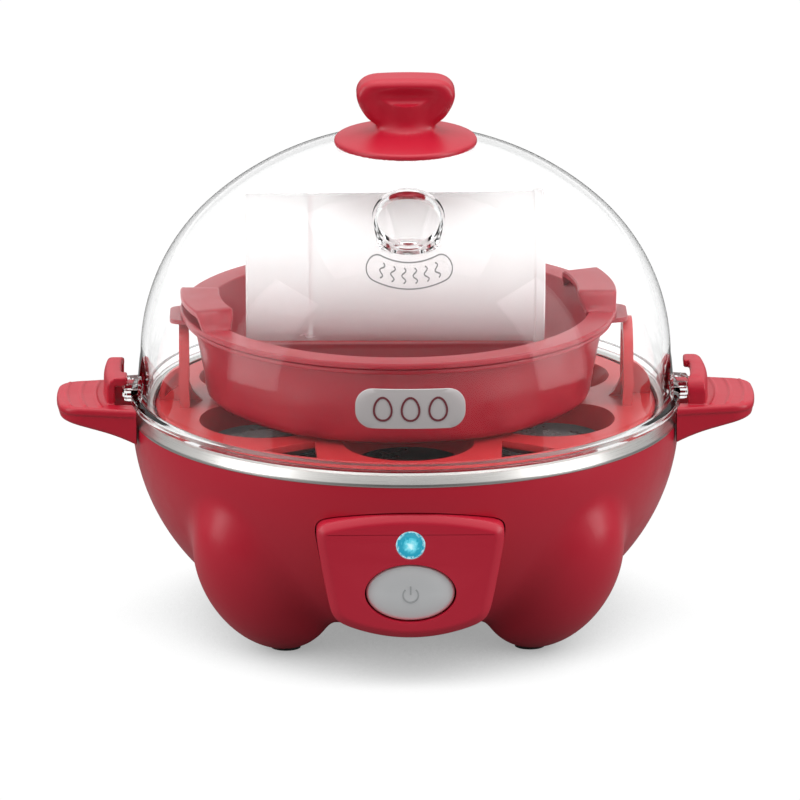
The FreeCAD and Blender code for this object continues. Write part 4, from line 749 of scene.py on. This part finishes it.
SATIN_BUTTON = satin_button_material()
JEWEL = jewel_material()
BADGE_METAL = moulded("badge_grey_foil", (0.56, 0.52, 0.52), 0.42, 0.2, 0.06, 0.04, 0.0, Metallic=0.2)
BADGE_PRINT = moulded("badge_dark_print", (0.16, 0.03, 0.04), 0.4, 0.2, 0.04, 0.02, 0.0)
MARK_GREY = moulded("printed_grey_mark", (0.20, 0.20, 0.20), 0.5, 0.2, 0.04, 0.02, 0.0)
BUTTON_MARK = moulded("button_mark_metal", (0.55, 0.56, 0.57), 0.4, 0.2, 0.04, 0.02, 0.0, Metallic=0.6)


# ---------------------------------------------------------------- base housing

def bowl_field(x, y, z):
    """The outer form of the bowl, with its four leaning legs and the rear cord boss blended in."""
    reach = np.hypot(x, y)
    bend = RIM_RADIUS - BOWL_ARC
    side = np.where(z > RIM_LEVEL, reach - RIM_RADIUS,
                    np.hypot(np.maximum(reach - bend, 0), z - RIM_LEVEL) - BOWL_ARC)
    form = soft_max(side, FLOOR_LEVEL - z, 4.0)
    lean = math.radians(LEG["lean"])
    for quarter in range(4):
        turn = math.radians(45 + 90 * quarter)
        out = np.array((math.cos(turn), math.sin(turn)))
        along = np.array((out[0] * math.sin(lean), out[1] * math.sin(lean), math.cos(lean)))
        dx, dy, dz = x - out[0] * LEG["reach"], y - out[1] * LEG["reach"], z - LEG["level"]
        length = dx * along[0] + dy * along[1] + dz * along[2]
        across = np.sqrt(np.maximum(dx * dx + dy * dy + dz * dz - length * length, 0))
        near = np.hypot(length / LEG["half_length"], across / LEG["half_width"])
        slope = np.hypot(length / LEG["half_length"] ** 2, across / LEG["half_width"] ** 2)
        form = soft_min(form, near * (near - 1) / np.maximum(slope, 1e-6), LEG["blend"])
    boss_face = GLAND_HIGH.y - 2.2
    boss = soft_max(np.hypot(x, z - GLAND_LEVEL) - 8.5, np.maximum(y - boss_face, 40 - y), 1.2)
    return soft_min(form, boss, 2.5)


def shell_field(x, y, z):
    outer = bowl_field(x, y, z)
    return np.maximum(np.maximum(outer, -(outer + SHELL_WALL)), z - RIM_LEVEL - 1.5)


def bowed(start, end, rise, steps):
    """Points from start to just before end along a curve that bulges to the right by rise."""
    start, end = np.array(start, float), np.array(end, float)
    chord = end - start
    side = np.array((chord[1], -chord[0])) / np.linalg.norm(chord)
    shares = np.linspace(0, 1, steps, endpoint=False)
    return [start + chord * share + side * rise * 4 * share * (1 - share) for share in shares]


def panel_ring(margin):
    """The shield outline of the control panel, moved inwards by margin, as (x, z) points."""
    bottom, top = PANEL_LOW.z, PANEL_HIGH.z
    low, high = bottom + PANEL_CHIN, top - PANEL_BROW
    low_left, low_right = (-PANEL_HALF_BOTTOM, low), (PANEL_HALF_BOTTOM, low)
    high_left, high_right = (-PANEL_HALF_TOP, high), (PANEL_HALF_TOP, high)
    ring = np.array(bowed(low_left, low_right, PANEL_CHIN, 60)
                    + bowed(low_right, high_right, PANEL_SIDE_BOW, 40)
                    + bowed(high_right, high_left, PANEL_BROW, 70)
                    + bowed(high_left, low_left, PANEL_SIDE_BOW, 40))
    lengths = np.linalg.norm(np.roll(ring, -1, axis=0) - ring, axis=1)
    along = np.concatenate(([0], np.cumsum(lengths)))
    closed = np.vstack((ring, ring[:1]))
    count = 240
    spots = np.linspace(0, along[-1], count, endpoint=False)
    ring = np.stack([np.interp(spots, along, closed[:, axis]) for axis in (0, 1)], axis=1)
    spacing = along[-1] / count
    reach = int(8.0 / spacing)
    weights = np.exp(-0.5 * (np.arange(-reach, reach + 1) * spacing / 2.5) ** 2)
    weights /= weights.sum()
    shifts = range(-reach, reach + 1)
    ring = sum(weight * np.roll(ring, shift, axis=0) for weight, shift in zip(weights, shifts))
    step = np.roll(ring, -1, axis=0) - np.roll(ring, 1, axis=0)
    step /= np.linalg.norm(step, axis=1)[:, None]
    inward = np.stack((-step[:, 1], step[:, 0]), axis=1)
    return ring + inward * margin


def panel_loft(layers):
    """A solid of panel outlines: each layer is (margin, y)."""
    return lofted_mesh([[(x, y, z) for x, z in panel_ring(margin)] for margin, y in layers])


def base_shell():
    points, faces = sculpt(shell_field, (-77, -77, -1.5), (77, 77, RIM_LEVEL + 3), 1.2)
    foot_reach = span("foot_pads")[1].x - 5.0
    steps = [("DIFFERENCE", block((-90, -90, RIM_LEVEL), (90, 90, RIM_LEVEL + 20))),
             ("DIFFERENCE", panel_loft([(-0.35, -95), (-0.35, -44)])),
             ("DIFFERENCE", drum(29, 0, 20)),
             ("DIFFERENCE", drum(33.15, 0, FLOOR_LEVEL + 1.4)),
             ("DIFFERENCE", moved(drum(4.5, 40, 80, steps=48), facing_back(0, GLAND_LEVEL)))]
    for sx in (1, -1):
        for sy in (1, -1):
            steps.append(("DIFFERENCE", drum(FOOT_RECESS_RADIUS, -5, FOOT_RECESS_TOP,
                                             (sx * foot_reach, sy * foot_reach), 48)))
    mesh = carved((points, faces), steps)
    finish_piece("bowl_housing", mesh, "base", RED_BODY, ["base_shell"], 40)


def facing_back(y, level):
    """Turns the Z axis to +Y and moves the origin to a place on the middle plane."""
    return Matrix.Translation((0, y, level)) @ Matrix.Rotation(-math.pi / 2, 4, "X")


def control_panel():
    face = PANEL_LOW.y
    layers = [(0, face + 26), (0, face + 2.3), (0.12, face + 1.75), (0.45, face + 1.25), (1.55, face + 0.42),
              (1.95, face + 0.18), (2.4, face + 0.03), (2.9, face)]
    front = panel_loft(layers)
    hollow = panel_loft([(2.0, face + 2.4), (2.0, face + 40)])
    hole = lofted_mesh([oval_ring(-0.4, face - 3), oval_ring(-0.4, face + 8)])
    lamp_hole = moved(drum(LENS_RADIUS + 0.1, -3, 8, steps=64), facing_back(face, LENS_LEVEL))
    step = block((-60, face + 9, 41), (60, face + 60, 80))
    mesh = carved(front, [("DIFFERENCE", cut) for cut in (hollow, step, hole, lamp_hole)])
    finish_piece("panel_housing", mesh, "base", RED_PANEL, ["control_panel"], 30)


def oval_ring(inset, y, count=96):
    """The button's oval, moved inwards by inset."""
    half_width = (BUTTON_HIGH.x - BUTTON_LOW.x) / 2 - inset
    half_height = (BUTTON_HIGH.z - BUTTON_LOW.z) / 2 - inset
    ring = []
    for index in range(count):
        turn = 2 * math.pi * index / count
        ring.append((half_width * math.cos(turn), y, BUTTON_LEVEL + half_height * math.sin(turn)))
    return ring


def power_button():
    """A satin oval cap, bulging a little, with a narrow rounded edge."""
    face = BUTTON_LOW.y
    bulge = 1.3
    edge = 0.55
    half_height = (BUTTON_HIGH.z - BUTTON_LOW.z) / 2
    layers = [(1.2, face + 6), (0, face + 6), (0, face + bulge + 0.5), (0.12, face + bulge + 0.22),
              (edge * 0.7, face + bulge + 0.02), (edge, face + bulge - 0.05)]
    for share in np.linspace(0.04, 0.985, 18):
        inset = edge + (half_height - edge) * share
        layers.append((inset, face + (bulge - 0.05) * (1 - share) ** 2))
    points, faces = lofted_mesh([oval_ring(inset, y) for inset, y in layers])
    piece("button_cap", points, faces, "button", SATIN_BUTTON, ["power_button"], 50)
    points, faces = moved(drum(2.4, 0, 3.2, steps=32), facing_back(face + 5.9, BUTTON_LEVEL))
    piece("button_stem", points, faces, "button", BLACK_COVER, (), 50)
    power_mark(face)


def tube_strip(route, width, thickness, place):
    """A thin raised line along 2D points, laid on a surface that place(u, v, lift) gives."""
    rings = []
    count = len(route)
    for index, (u, v) in enumerate(route):
        before = np.array(route[max(index - 1, 0)])
        after = np.array(route[min(index + 1, count - 1)])
        way = (after - before) / max(np.linalg.norm(after - before), 1e-9)
        side = np.array((-way[1], way[0])) * width / 2
        left, right = np.array((u, v)) + side, np.array((u, v)) - side
        rings.append([place(left[0], left[1], 0), place(left[0], left[1], thickness),
                      place(right[0], right[1], thickness), place(right[0], right[1], 0)])
    return lofted_mesh(rings)


def merged(solids):
    points, faces = [], []
    for some_points, some_faces in solids:
        start = len(points)
        points += list(some_points)
        faces += [tuple(index + start for index in face) for face in some_faces]
    return points, faces


def power_mark(face):
    """The plain stroke-and-ring symbol for power, raised a little on the button's face."""
    def place(u, v, lift):
        return (u, face + 0.02 - lift * 0.6, BUTTON_LEVEL + v)

    ring = [(2.05 * math.sin(math.radians(turn)), -0.3 + 2.05 * math.cos(math.radians(turn)))
            for turn in range(42, 319, 12)]
    stroke = [(0, -0.2), (0, 1.0), (0, 2.2)]
    points, faces = merged([tube_strip(ring, 0.42, 0.2, place), tube_strip(stroke, 0.42, 0.2, place)])
    piece("power_mark", points, faces, "button", BUTTON_MARK, (), 30)


def lamp_lens():
    """A faceted jewel in a thin collar of the same lit material."""
    radius = LENS_RADIUS
    turn = facing_back(PANEL_LOW.y, LENS_LEVEL)
    profile = [(0, 5), (4.9, 5), (4.9, 3.2), (radius, 3.2), (radius, 0.5), (radius - 0.3, 0.1),
               (radius - 0.55, 0.35), (0, 0.9)]
    points, faces = moved(turned_mesh(profile, 64), turn)
    piece("lamp_collar", points, faces, "base", JEWEL, ["led_lens"], 30)
    facets = []
    for ring_index, (reach, depth) in enumerate(((3.25, 0.42), (2.5, 0.02), (1.6, -0.16), (0.7, -0.24))):
        ring = []
        for index in range(14):
            spin = 2 * math.pi * (index + 0.5 * (ring_index % 2)) / 14
            ring.append((reach * math.cos(spin), reach * math.sin(spin), depth))
        facets.append(ring)
    points, faces = moved(lofted_mesh(facets), turn)
    piece("lamp_jewel", points, faces, "base", JEWEL, (), 5)


# ---------------------------------------------------------------- handles

def box_field(x, y, z, low, high, round_size):
    """A box with rounded edges."""
    apart = [np.abs(value - (a + b) / 2) - ((b - a) / 2 - round_size)
             for value, a, b in zip((x, y, z), low, high)]
    outside = np.sqrt(sum(np.maximum(part, 0) ** 2 for part in apart))
    return outside + np.minimum(np.maximum(np.maximum(apart[0], apart[1]), apart[2]), 0) - round_size


def hook_field(x, y, z):
    """The hook over the lid's ear: a roof on an outer wall, closed at one end by a leg."""
    bowed_x = x + 0.006 * (y + 1.6) ** 2
    wall = box_field(bowed_x, y, z, (79.2, HOOK_START, 58.5), (HOOK_OUTER, HOOK_END, HOOK_TOP), 0.5)
    roof = box_field(bowed_x, y, z, (76.6, HOOK_START, 66.6), (HOOK_OUTER, HOOK_END, HOOK_TOP), 0.6)
    lip = box_field(x, y, z, (75.0, 4.4, 66.8), (80.0, HOOK_END, HOOK_TOP), 0.6)
    leg = box_field(x, y, z, (75.74, HOOK_START, 56.5), (80.9, -11.6, HOOK_TOP), 0.5)
    leg = np.maximum(leg, (z - 68.9) * 0.9 - (x - 76.3))
    hook = soft_min(soft_min(wall, roof, 0.8), soft_min(lip, leg, 0.6), 0.6)
    crest = soft_max(bowed_x - HOOK_OUTER, z - HOOK_TOP, 3.4)
    tail = soft_max(HOOK_START - y, z - HOOK_TOP, 5.0)
    return np.maximum(np.maximum(hook, crest), tail)


def handle_field(x, y, z):
    """The right-hand handle: a tapering grip with a parting step, arched ridges and the lid's hook."""
    top = HANDLE_HIGH.z - 7.5
    reach = HANDLE_HIGH.x
    root = HANDLE_HIGH.x - 19.9
    share = (x - root) / (reach - 1.2 - root)
    half = GRIP_ROOT_HALF + (GRIP_TIP_HALF - GRIP_ROOT_HALF) * share
    plan = soft_max(np.abs(y) - half, x - (reach - y * y / 139.0), 4.5)
    under = 57.2 - 0.235 * (reach - 2 - x) - 0.012 * np.maximum(82.0 - x, 0) ** 2 - z
    upper = soft_max(soft_max(plan, z - top, 1.3), (top - 2.1) - z, 0.3)
    lower = soft_max(soft_max(plan + 0.35, z - (top - 1.0), 0.5), under, 1.2)
    slab = np.minimum(upper, lower)
    for index in range(3):
        middle = root + 9.5 + 3.9 * index
        ring = np.abs(np.hypot(x - middle + 60.0, y) - 60.0) - 0.42
        ridge = soft_max(soft_max(ring, np.abs(y) - (half - 1.6), 0.8), z - (top + 0.38), 0.5)
        ridge = np.maximum(ridge, (top - 0.6) - z)
        slab = soft_min(slab, ridge, 0.35)
    slot = soft_max(x - 79.2, np.maximum(y - HOOK_END, -11.6 - y), 0.8)
    slab = soft_max(slab, -slot, 0.5)
    handle = soft_min(slab, hook_field(x, y, z), 0.5)
    clear = np.where(z > RIM_LEVEL + 4, 74.5, 74.05) - np.hypot(x, y)
    return np.maximum(handle, clear)


def handles():
    points, faces = sculpt(handle_field, (72.5, -18, 49.5), (95.5, 18, 70.5), 0.38)
    for side, turn in (("right", 0), ("left", math.pi)):
        spun = Matrix.Rotation(turn, 4, "Z")
        placed = [tuple(spun @ Vector(point)) for point in points]
        piece(f"{side}_grip", placed, faces, "base", RED_BODY, [f"{side}_handle"], 50)


# ---------------------------------------------------------------- steel band

def steel_band():
    low, high = BAND_LOW.z, BAND_HIGH.z
    outer = BAND_HIGH.y
    profile = rounded([(outer - 0.8, low), (outer, low, 0.3), (outer - 0.1, low + 0.9, 0.8),
                       (outer - 1.15, high - 0.9, 0.9), (outer - 1.9, high, 0.6), (outer - 5.2, high, 0.3),
                       (outer - 5.2, high - 0.8, 0.3), (outer - 2.6, high - 0.8, 0.5)], steps=6)
    points, faces = turned_mesh(profile, 256)
    piece("brushed_band", points, faces, "base", STEEL_BAND, ["steel_rim_band"], 40)


# ---------------------------------------------------------------- dishes

def shifted(solid, dx):
    points, faces = solid
    return [(x + dx, y, z) for x, y, z in points], faces


def omelette_bowl():
    bottom, top = BOWL_LOW.z, BOWL_HIGH.z
    profile = rounded([(0, bottom), (41, bottom), (43, bottom + 0.4, 2), (51.4, bottom + 0.5, 7.5),
                       (52.4, bottom + 8, 30), (55.2, top - 1.4, 0.8), (57.7, top - 1.4, 0.4),
                       (57.7, top, 0.4), (53.6, top, 0.5), (50.8, bottom + 8, 30), (49.8, bottom + 2.2, 6),
                       (0, bottom + 1.6)], closed=False, steps=8)
    dish = shifted(turned_mesh(profile, 224), DISH_SHIFT)
    outline = rounded([(55.5, -8.5), (61.4, -6.5, 3), (61.4, 6.5, 3), (55.5, 8.5)])
    tab = lofted_mesh([[(x, y, level) for x, y in outline] for level in (top - 1.35, top - 0.15)])
    tabs = [moved(tab, Matrix.Rotation(side, 4, "Z")) for side in (0, math.pi)]
    steps = [("UNION", shifted(solid, DISH_SHIFT)) for solid in tabs]
    mesh = carved(dish, steps)
    finish_piece("omelette_dish", mesh, "omelette_bowl", RED_DISH, ["omelette_bowl"], 40)


def wing_solid(turn):
    """A raised lifting wing on the poaching tray's rim: a sector whose two ends slope down to the rim."""
    top = POACH_RIM_LEVEL
    start, sweep = math.radians(-9), math.radians(37)
    rings = []
    for index in range(29):
        share = index / 28
        ramp = min(1.0, share / 0.17, (1 - share) / 0.17)
        ramp = ramp * ramp * (3 - 2 * ramp)
        lift = WING_RISE * ramp
        azimuth = turn + start + sweep * share
        inner = 50.8 - 2.6 * ramp
        under = top - 1.2 + max(0.0, lift - 0.4)
        section = [(58.55, under), (58.55, top + lift - 0.4), (58.15, top + lift), (inner + 0.4, top + lift),
                   (inner, top + lift - 0.4), (inner, under)]
        rings.append([(r * math.cos(azimuth), r * math.sin(azimuth), z) for r, z in section])
    return lofted_mesh(rings)


def poaching_tray():
    top = POACH_RIM_LEVEL
    floor_level = 66.0
    profile = rounded([(0, floor_level), (40, floor_level, 8), (47.2, floor_level + 2.5, 6),
                       (48.6, floor_level + 9, 20), (52.4, top - 1.6, 0.8), (58.6, top - 1.6, 0.4),
                       (58.6, top, 0.45), (51.6, top, 0.6), (47.2, floor_level + 9, 20),
                       (45.6, floor_level + 3.6, 6), (40, floor_level + 1.4, 7), (0, floor_level + 1.4)],
                      closed=False, steps=8)
    dish = turned_mesh(profile, 224)
    ridge_foot, ridge_top = floor_level + 0.7, floor_level + 9.4
    ridge = rounded([(-4.5, ridge_foot), (-1.8, ridge_top, 1.5), (1.8, ridge_top, 1.5), (4.5, ridge_foot)])
    divider = lofted_mesh([[(x, y, z) for y, z in ridge] for x in (-44.5, 44.5)])
    steps = [("UNION", divider)] + [("UNION", wing_solid(turn)) for turn in (0, math.pi)]
    mesh = carved(dish, steps)
    mesh.transform(Matrix.Translation((DISH_SHIFT * MM, 0, 0)))
    finish_piece("poaching_dish", mesh, "poaching_tray", RED_DISH, ["poaching_tray"], 40)


# ---------------------------------------------------------------- measuring cup

def measuring_cup():
    low, high = CUP_LOW.x, CUP_HIGH.x
    level = (CUP_LOW.z + CUP_HIGH.z) / 2
    floor_at = -25.0
    profile = rounded([(18.2, low + 0.2, 0.5), (19.5, low, 1.0), (19.75, low + 6, 3), (20.1, high - 2.8, 0.4),
                       (20.8, high - 2.5, 0.4), (20.9, high, 0.5), (19.1, high, 0.5),
                       (18.35, floor_at + 1.5, 1.5), (16.5, floor_at, 1.0), (0, floor_at)],
                      closed=False, steps=6)
    under = rounded([(0, floor_at - 4.2), (2.4, floor_at - 4.2, 0.4), (3.2, floor_at - 1.3, 0.4),
                     (17.4, floor_at - 1.2, 1.0), (18.1, low + 6)], closed=False)
    points, faces = turned_mesh(profile + under, 160)
    turned = Matrix.Translation((0, 0, level)) @ Matrix.Rotation(math.pi / 2, 4, "Y")
    points, faces = moved((points, faces), turned)
    piece("cup_body", points, faces, "measuring_cup", FROSTED, ["measuring_cup"], 40)


# ---------------------------------------------------------------- lid

def dome_crown():
    """The radius of the dome's crown, which runs on into its side arc, and its centre's height."""
    rise = DOME_TOP - DOME_SPRING
    crown = (DOME_SIDE_CENTRE ** 2 + rise ** 2 - DOME_SIDE_ARC ** 2) / (2 * (rise - DOME_SIDE_ARC))
    return crown, DOME_TOP - crown


def dome_profile(margin, levels_from):
    """Points down the dome's outer form, grown by margin, from its top to levels_from."""
    crown, crown_level = dome_crown()
    meet = math.degrees(math.atan2(DOME_SPRING - crown_level, DOME_SIDE_CENTRE))
    top = arc((0, crown_level), crown + margin, 90, meet, 26)
    side = arc((DOME_SIDE_CENTRE, DOME_SPRING), DOME_SIDE_ARC + margin, meet, 0, 22)[1:]
    top[0] = (0, top[0][1])
    return top + side + [(SKIRT_RADIUS + margin, levels_from)]


def dome_front(x, z, lift):
    """The point on the dome's front at a side position and a height, lifted off it."""
    crown, crown_level = dome_crown()
    meet_level = DOME_SPRING + (DOME_SPRING - crown_level) * DOME_SIDE_ARC / (crown - DOME_SIDE_ARC)
    if z >= meet_level:
        reach = math.sqrt(max((crown + lift) ** 2 - (z - crown_level) ** 2, 0))
    elif z >= DOME_SPRING:
        rise = z - DOME_SPRING
        reach = DOME_SIDE_CENTRE + math.sqrt(max((DOME_SIDE_ARC + lift) ** 2 - rise ** 2, 0))
    else:
        reach = DOME_RADIUS + lift
    return (x, -math.sqrt(max(reach * reach - x * x, 0)), z)


def vent_solid(profile):
    """A turned solid on the vent's axis, for one boolean step."""
    points, faces = turned_mesh(profile, 96)
    return [(x, y - VENT_REACH, z) for x, y, z in points], faces


def lid_dome():
    """The clear dome, with its flange, two ears, the vent's well and the hole for the knob's screw."""
    bottom = LID_LOW.z
    outer = dome_profile(0, bottom + 2.0)[:-1]
    inner = dome_profile(-DOME_WALL, bottom)
    flange = rounded([(DOME_RADIUS + 0.3, DOME_SPRING - 2), (SKIRT_RADIUS, bottom + 2.6, 0.5),
                      (FLANGE_RADIUS, bottom + 2.0, 0.5), (FLANGE_RADIUS, bottom, 0.5),
                      (SKIRT_RADIUS - DOME_WALL, bottom, 0.3)], closed=False, steps=4)
    dome = turned_mesh(outer + flange + inner[::-1][1:], 256)
    limit = turned_mesh(dome_profile(0.9, bottom) + [(0, bottom)], 256)
    post = vent_solid(rounded([(0, VENT_FLOOR), (8.2, VENT_FLOOR, 1.2), (9.75, VENT_FLOOR + 9), (9.75, 135),
                               (0, 135)], closed=False))
    well = carved(post, [("INTERSECT", limit)])
    hollow = vent_solid([(0, VENT_FLOOR + 1.2), (7.3, VENT_FLOOR + 1.2), (8.85, VENT_FLOOR + 9), (8.85, 140),
                         (0, 140)])
    steps = [("UNION", mesh_solid(well)), ("DIFFERENCE", hollow),
             ("DIFFERENCE", drum(4.0, 100, 120, (0, -VENT_REACH), 64)),
             ("DIFFERENCE", drum(1.7, DOME_TOP - 10, DOME_TOP + 5, steps=32))]
    for turn in (0, math.pi):
        for solid in ear_solids(bottom):
            steps.insert(0, ("UNION", moved(solid, Matrix.Rotation(turn, 4, "Z"))))
    mesh = carved(dome, steps)
    finish_piece("clear_dome", mesh, "lid", CLEAR_LID, ["lid_dome"], 28)


def mesh_solid(mesh):
    """A mesh's points in millimetres and its faces."""
    points = [tuple(vertex.co / MM) for vertex in mesh.vertices]
    faces = [tuple(face.vertices) for face in mesh.polygons]
    bpy.data.meshes.remove(mesh)
    return points, faces


def ear_solids(bottom):
    """The clear ear on the +X side: a plate, an upright rib and the catch under it."""
    plate_low = bottom + 1.5
    outline = rounded([(71.2, -3.9), (75.8, -3.9, 1.0), (76.3, -2.1, 1.0), (76.3, 2.1, 1.0),
                       (75.8, 3.9, 1.0), (71.2, 3.9)], steps=3)
    plate = lofted_mesh([[(x, y, z) for x, y in outline] for z in (plate_low, plate_low + 2.0)])
    side = rounded([(71.0, plate_low + 1), (75.9, plate_low + 1), (76.2, 65.2, 0.8), (75.6, 66.0, 0.6),
                    (71.0, 66.3)], steps=3)
    rib = lofted_mesh([[(x, y, z) for x, z in side] for y in (-2.2, 2.2)])
    catch = drum(1.5, plate_low - 1.7, plate_low + 0.5, (74.4, 0), 24)
    return [plate, rib, catch]


def knob_seat(x, y):
    """The height of the knob's hollow underside, just above the dome's crown."""
    seat = np.sqrt(np.maximum(KNOB_SEAT_RADIUS ** 2 - np.hypot(x, y) ** 2, 0))
    return seat + DOME_TOP - KNOB_SEAT_RADIUS + 0.12


def knob_field(x, y, z):
    """The knob: a thin domed disc, a soft neck and a grip with scooped faces."""
    reach = np.hypot(x, y)
    under = knob_seat(x, y)
    share = np.clip(reach / KNOB_DISC_RADIUS, 0, 1.2)
    over = 132.75 + 2.9 * (1 - share ** 2)
    disc = soft_max(reach - KNOB_DISC_RADIUS, (z - over) * 0.94, 0.7)
    disc = soft_max(disc, (under - z) * 0.96, 0.3)
    neck = np.maximum(reach - 5.6 - 0.12 * np.maximum(z - 137, 0), np.maximum(z - 143, 133 - z))
    width = 13.35 - 0.068 * np.maximum(146.2 - z, 0) ** 1.9
    plan = soft_max((np.abs(x) - np.maximum(width, 2.0)) * 0.85, z - (KNOB_HIGH.z - 0.004 * x * x), 5.0)
    plan = soft_max(plan, 136.6 - z, 3.0)
    scoop = 2.1 * np.clip(1 - (x / 12.5) ** 2, 0, 1) * np.clip(1 - ((z - 141.5) / 6.8) ** 2, 0, 1)
    grip = soft_max(plan, np.abs(y) - (5.8 - scoop), 3.2)
    whole = soft_min(soft_min(grip, neck, 3.0), disc, 3.4)
    return np.maximum(whole, (under - z) * 0.96)


def lid_knob():
    points, faces = sculpt(knob_field, (-20.5, -20.5, 129.0), (20.5, 20.5, 151.5), 0.45)
    piece("knob_grip", points, faces, "lid", RED_BODY, ["lid_knob"], 45)


def badge():
    """A plain pill-shaped plaque with three egg outlines, laid on the dome."""
    level = (BADGE_LOW.z + BADGE_HIGH.z) / 2
    dense = pill((BADGE_HIGH.x - BADGE_LOW.x) / 2, (BADGE_HIGH.z - BADGE_LOW.z) / 2, 4.6, 10, 1.0)
    rings = []
    for inset, lift in ((1.0, 0.05), (1.0, 0.35), (0.985, 0.45)):
        rings.append([dome_front(u * inset, level + v * inset, lift) for u, v in dense])
    for share in (0.8, 0.55, 0.3, 0.08):
        rings.append([dome_front(u * share, level + v * share, 0.45) for u, v in dense])
    points, faces = lofted_mesh(rings)
    piece("lid_plaque", points, faces, "lid", BADGE_METAL, ["lid_badge"], 40)
    eggs = []
    for centre in (-7.4, 0.0, 7.4):
        egg = []
        for index in range(33):
            turn = 2 * math.pi * index / 32
            wide = 2.35 * (1 - 0.12 * math.cos(turn))
            egg.append((centre + wide * math.sin(turn), 3.1 * math.cos(turn)))
        eggs.append(tube_strip(egg, 0.55, 0.16, lambda u, v, lift: dome_front(u, level + v, 0.42 + lift)))
    points, faces = merged(eggs)
    piece("plaque_eggs", points, faces, "lid", BADGE_PRINT, (), 40)


def pill(half_width, half_height, radius, steps, spacing):
    """Evenly dense points round a rounded bar."""
    outline = rounded([(-half_width, -half_height, radius), (half_width, -half_height, radius),
                       (half_width, half_height, radius), (-half_width, half_height, radius)], steps=steps)
    dense = []
    for first, last in zip(outline, outline[1:] + outline[:1]):
        parts = max(1, int(np.linalg.norm(last - first) / spacing))
        dense += [tuple(first + (last - first) * part / parts) for part in range(parts)]
    return dense


def steam_mark():
    """A curved pill outline with rising steam lines, under the vent."""
    level = 110.0
    curve = 24.0

    def place(u, v, lift):
        turn = u / curve
        reach = curve - v
        return dome_front(reach * math.sin(turn), level + curve - reach * math.cos(turn), 0.03 + lift)

    dense = pill(11.6, 2.9, 2.8, 8, 0.8)
    dense += dense[:2]
    strips = [tube_strip(dense, 0.32, 0.06, place)]
    for centre in np.linspace(-7.5, 7.5, 6):
        wave = [(centre + 0.55 * math.sin(2 * math.pi * step / 8), -1.7 + 3.4 * step / 12)
                for step in range(13)]
        strips.append(tube_strip(wave, 0.34, 0.06, place))
    points, faces = merged(strips)
    piece("steam_mark", points, faces, "lid", MARK_GREY, (), 40)


# ---------------------------------------------------------------- the model

FINISHES = {
    "bottom_cover": BLACK_COVER, "foot_pads": DARK_RUBBER, "plate_studs": PLATED_STEEL,
    "cover_screws": PLATED_STEEL, "heating_plate": NONSTICK, "plate_gasket": SILICONE,
    "heating_element": ELEMENT, "element_terminals": PLATED_STEEL, "thermostat": ALUMINIUM,
    "thermal_fuse": ALUMINIUM, "heat_shield": ALUMINIUM, "led_lamp": LAMP_WHITE, "led_board": BOARD,
    "button_spring": PLATED_STEEL, "power_switch": BLACK_COVER, "switch_bracket": PLATED_STEEL,
    "cord_gland": DARK_RUBBER, "terminal_block": IVORY, "lead_wires": WIRE_SLEEVE, "egg_tray": RED_TRAY,
    "piercing_pin": PLATED_STEEL, "knob_washer": SILICONE, "knob_screw": PLATED_STEEL,
}

camera()
studio()
floor()
for name, finish in FINISHES.items():
    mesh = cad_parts[name].data
    mesh.materials.clear()
    mesh.materials.append(finish)
base_shell()
control_panel()
power_button()
lamp_lens()
handles()
steel_band()
omelette_bowl()
poaching_tray()
measuring_cup()
lid_dome()
lid_knob()
badge()
steam_mark()
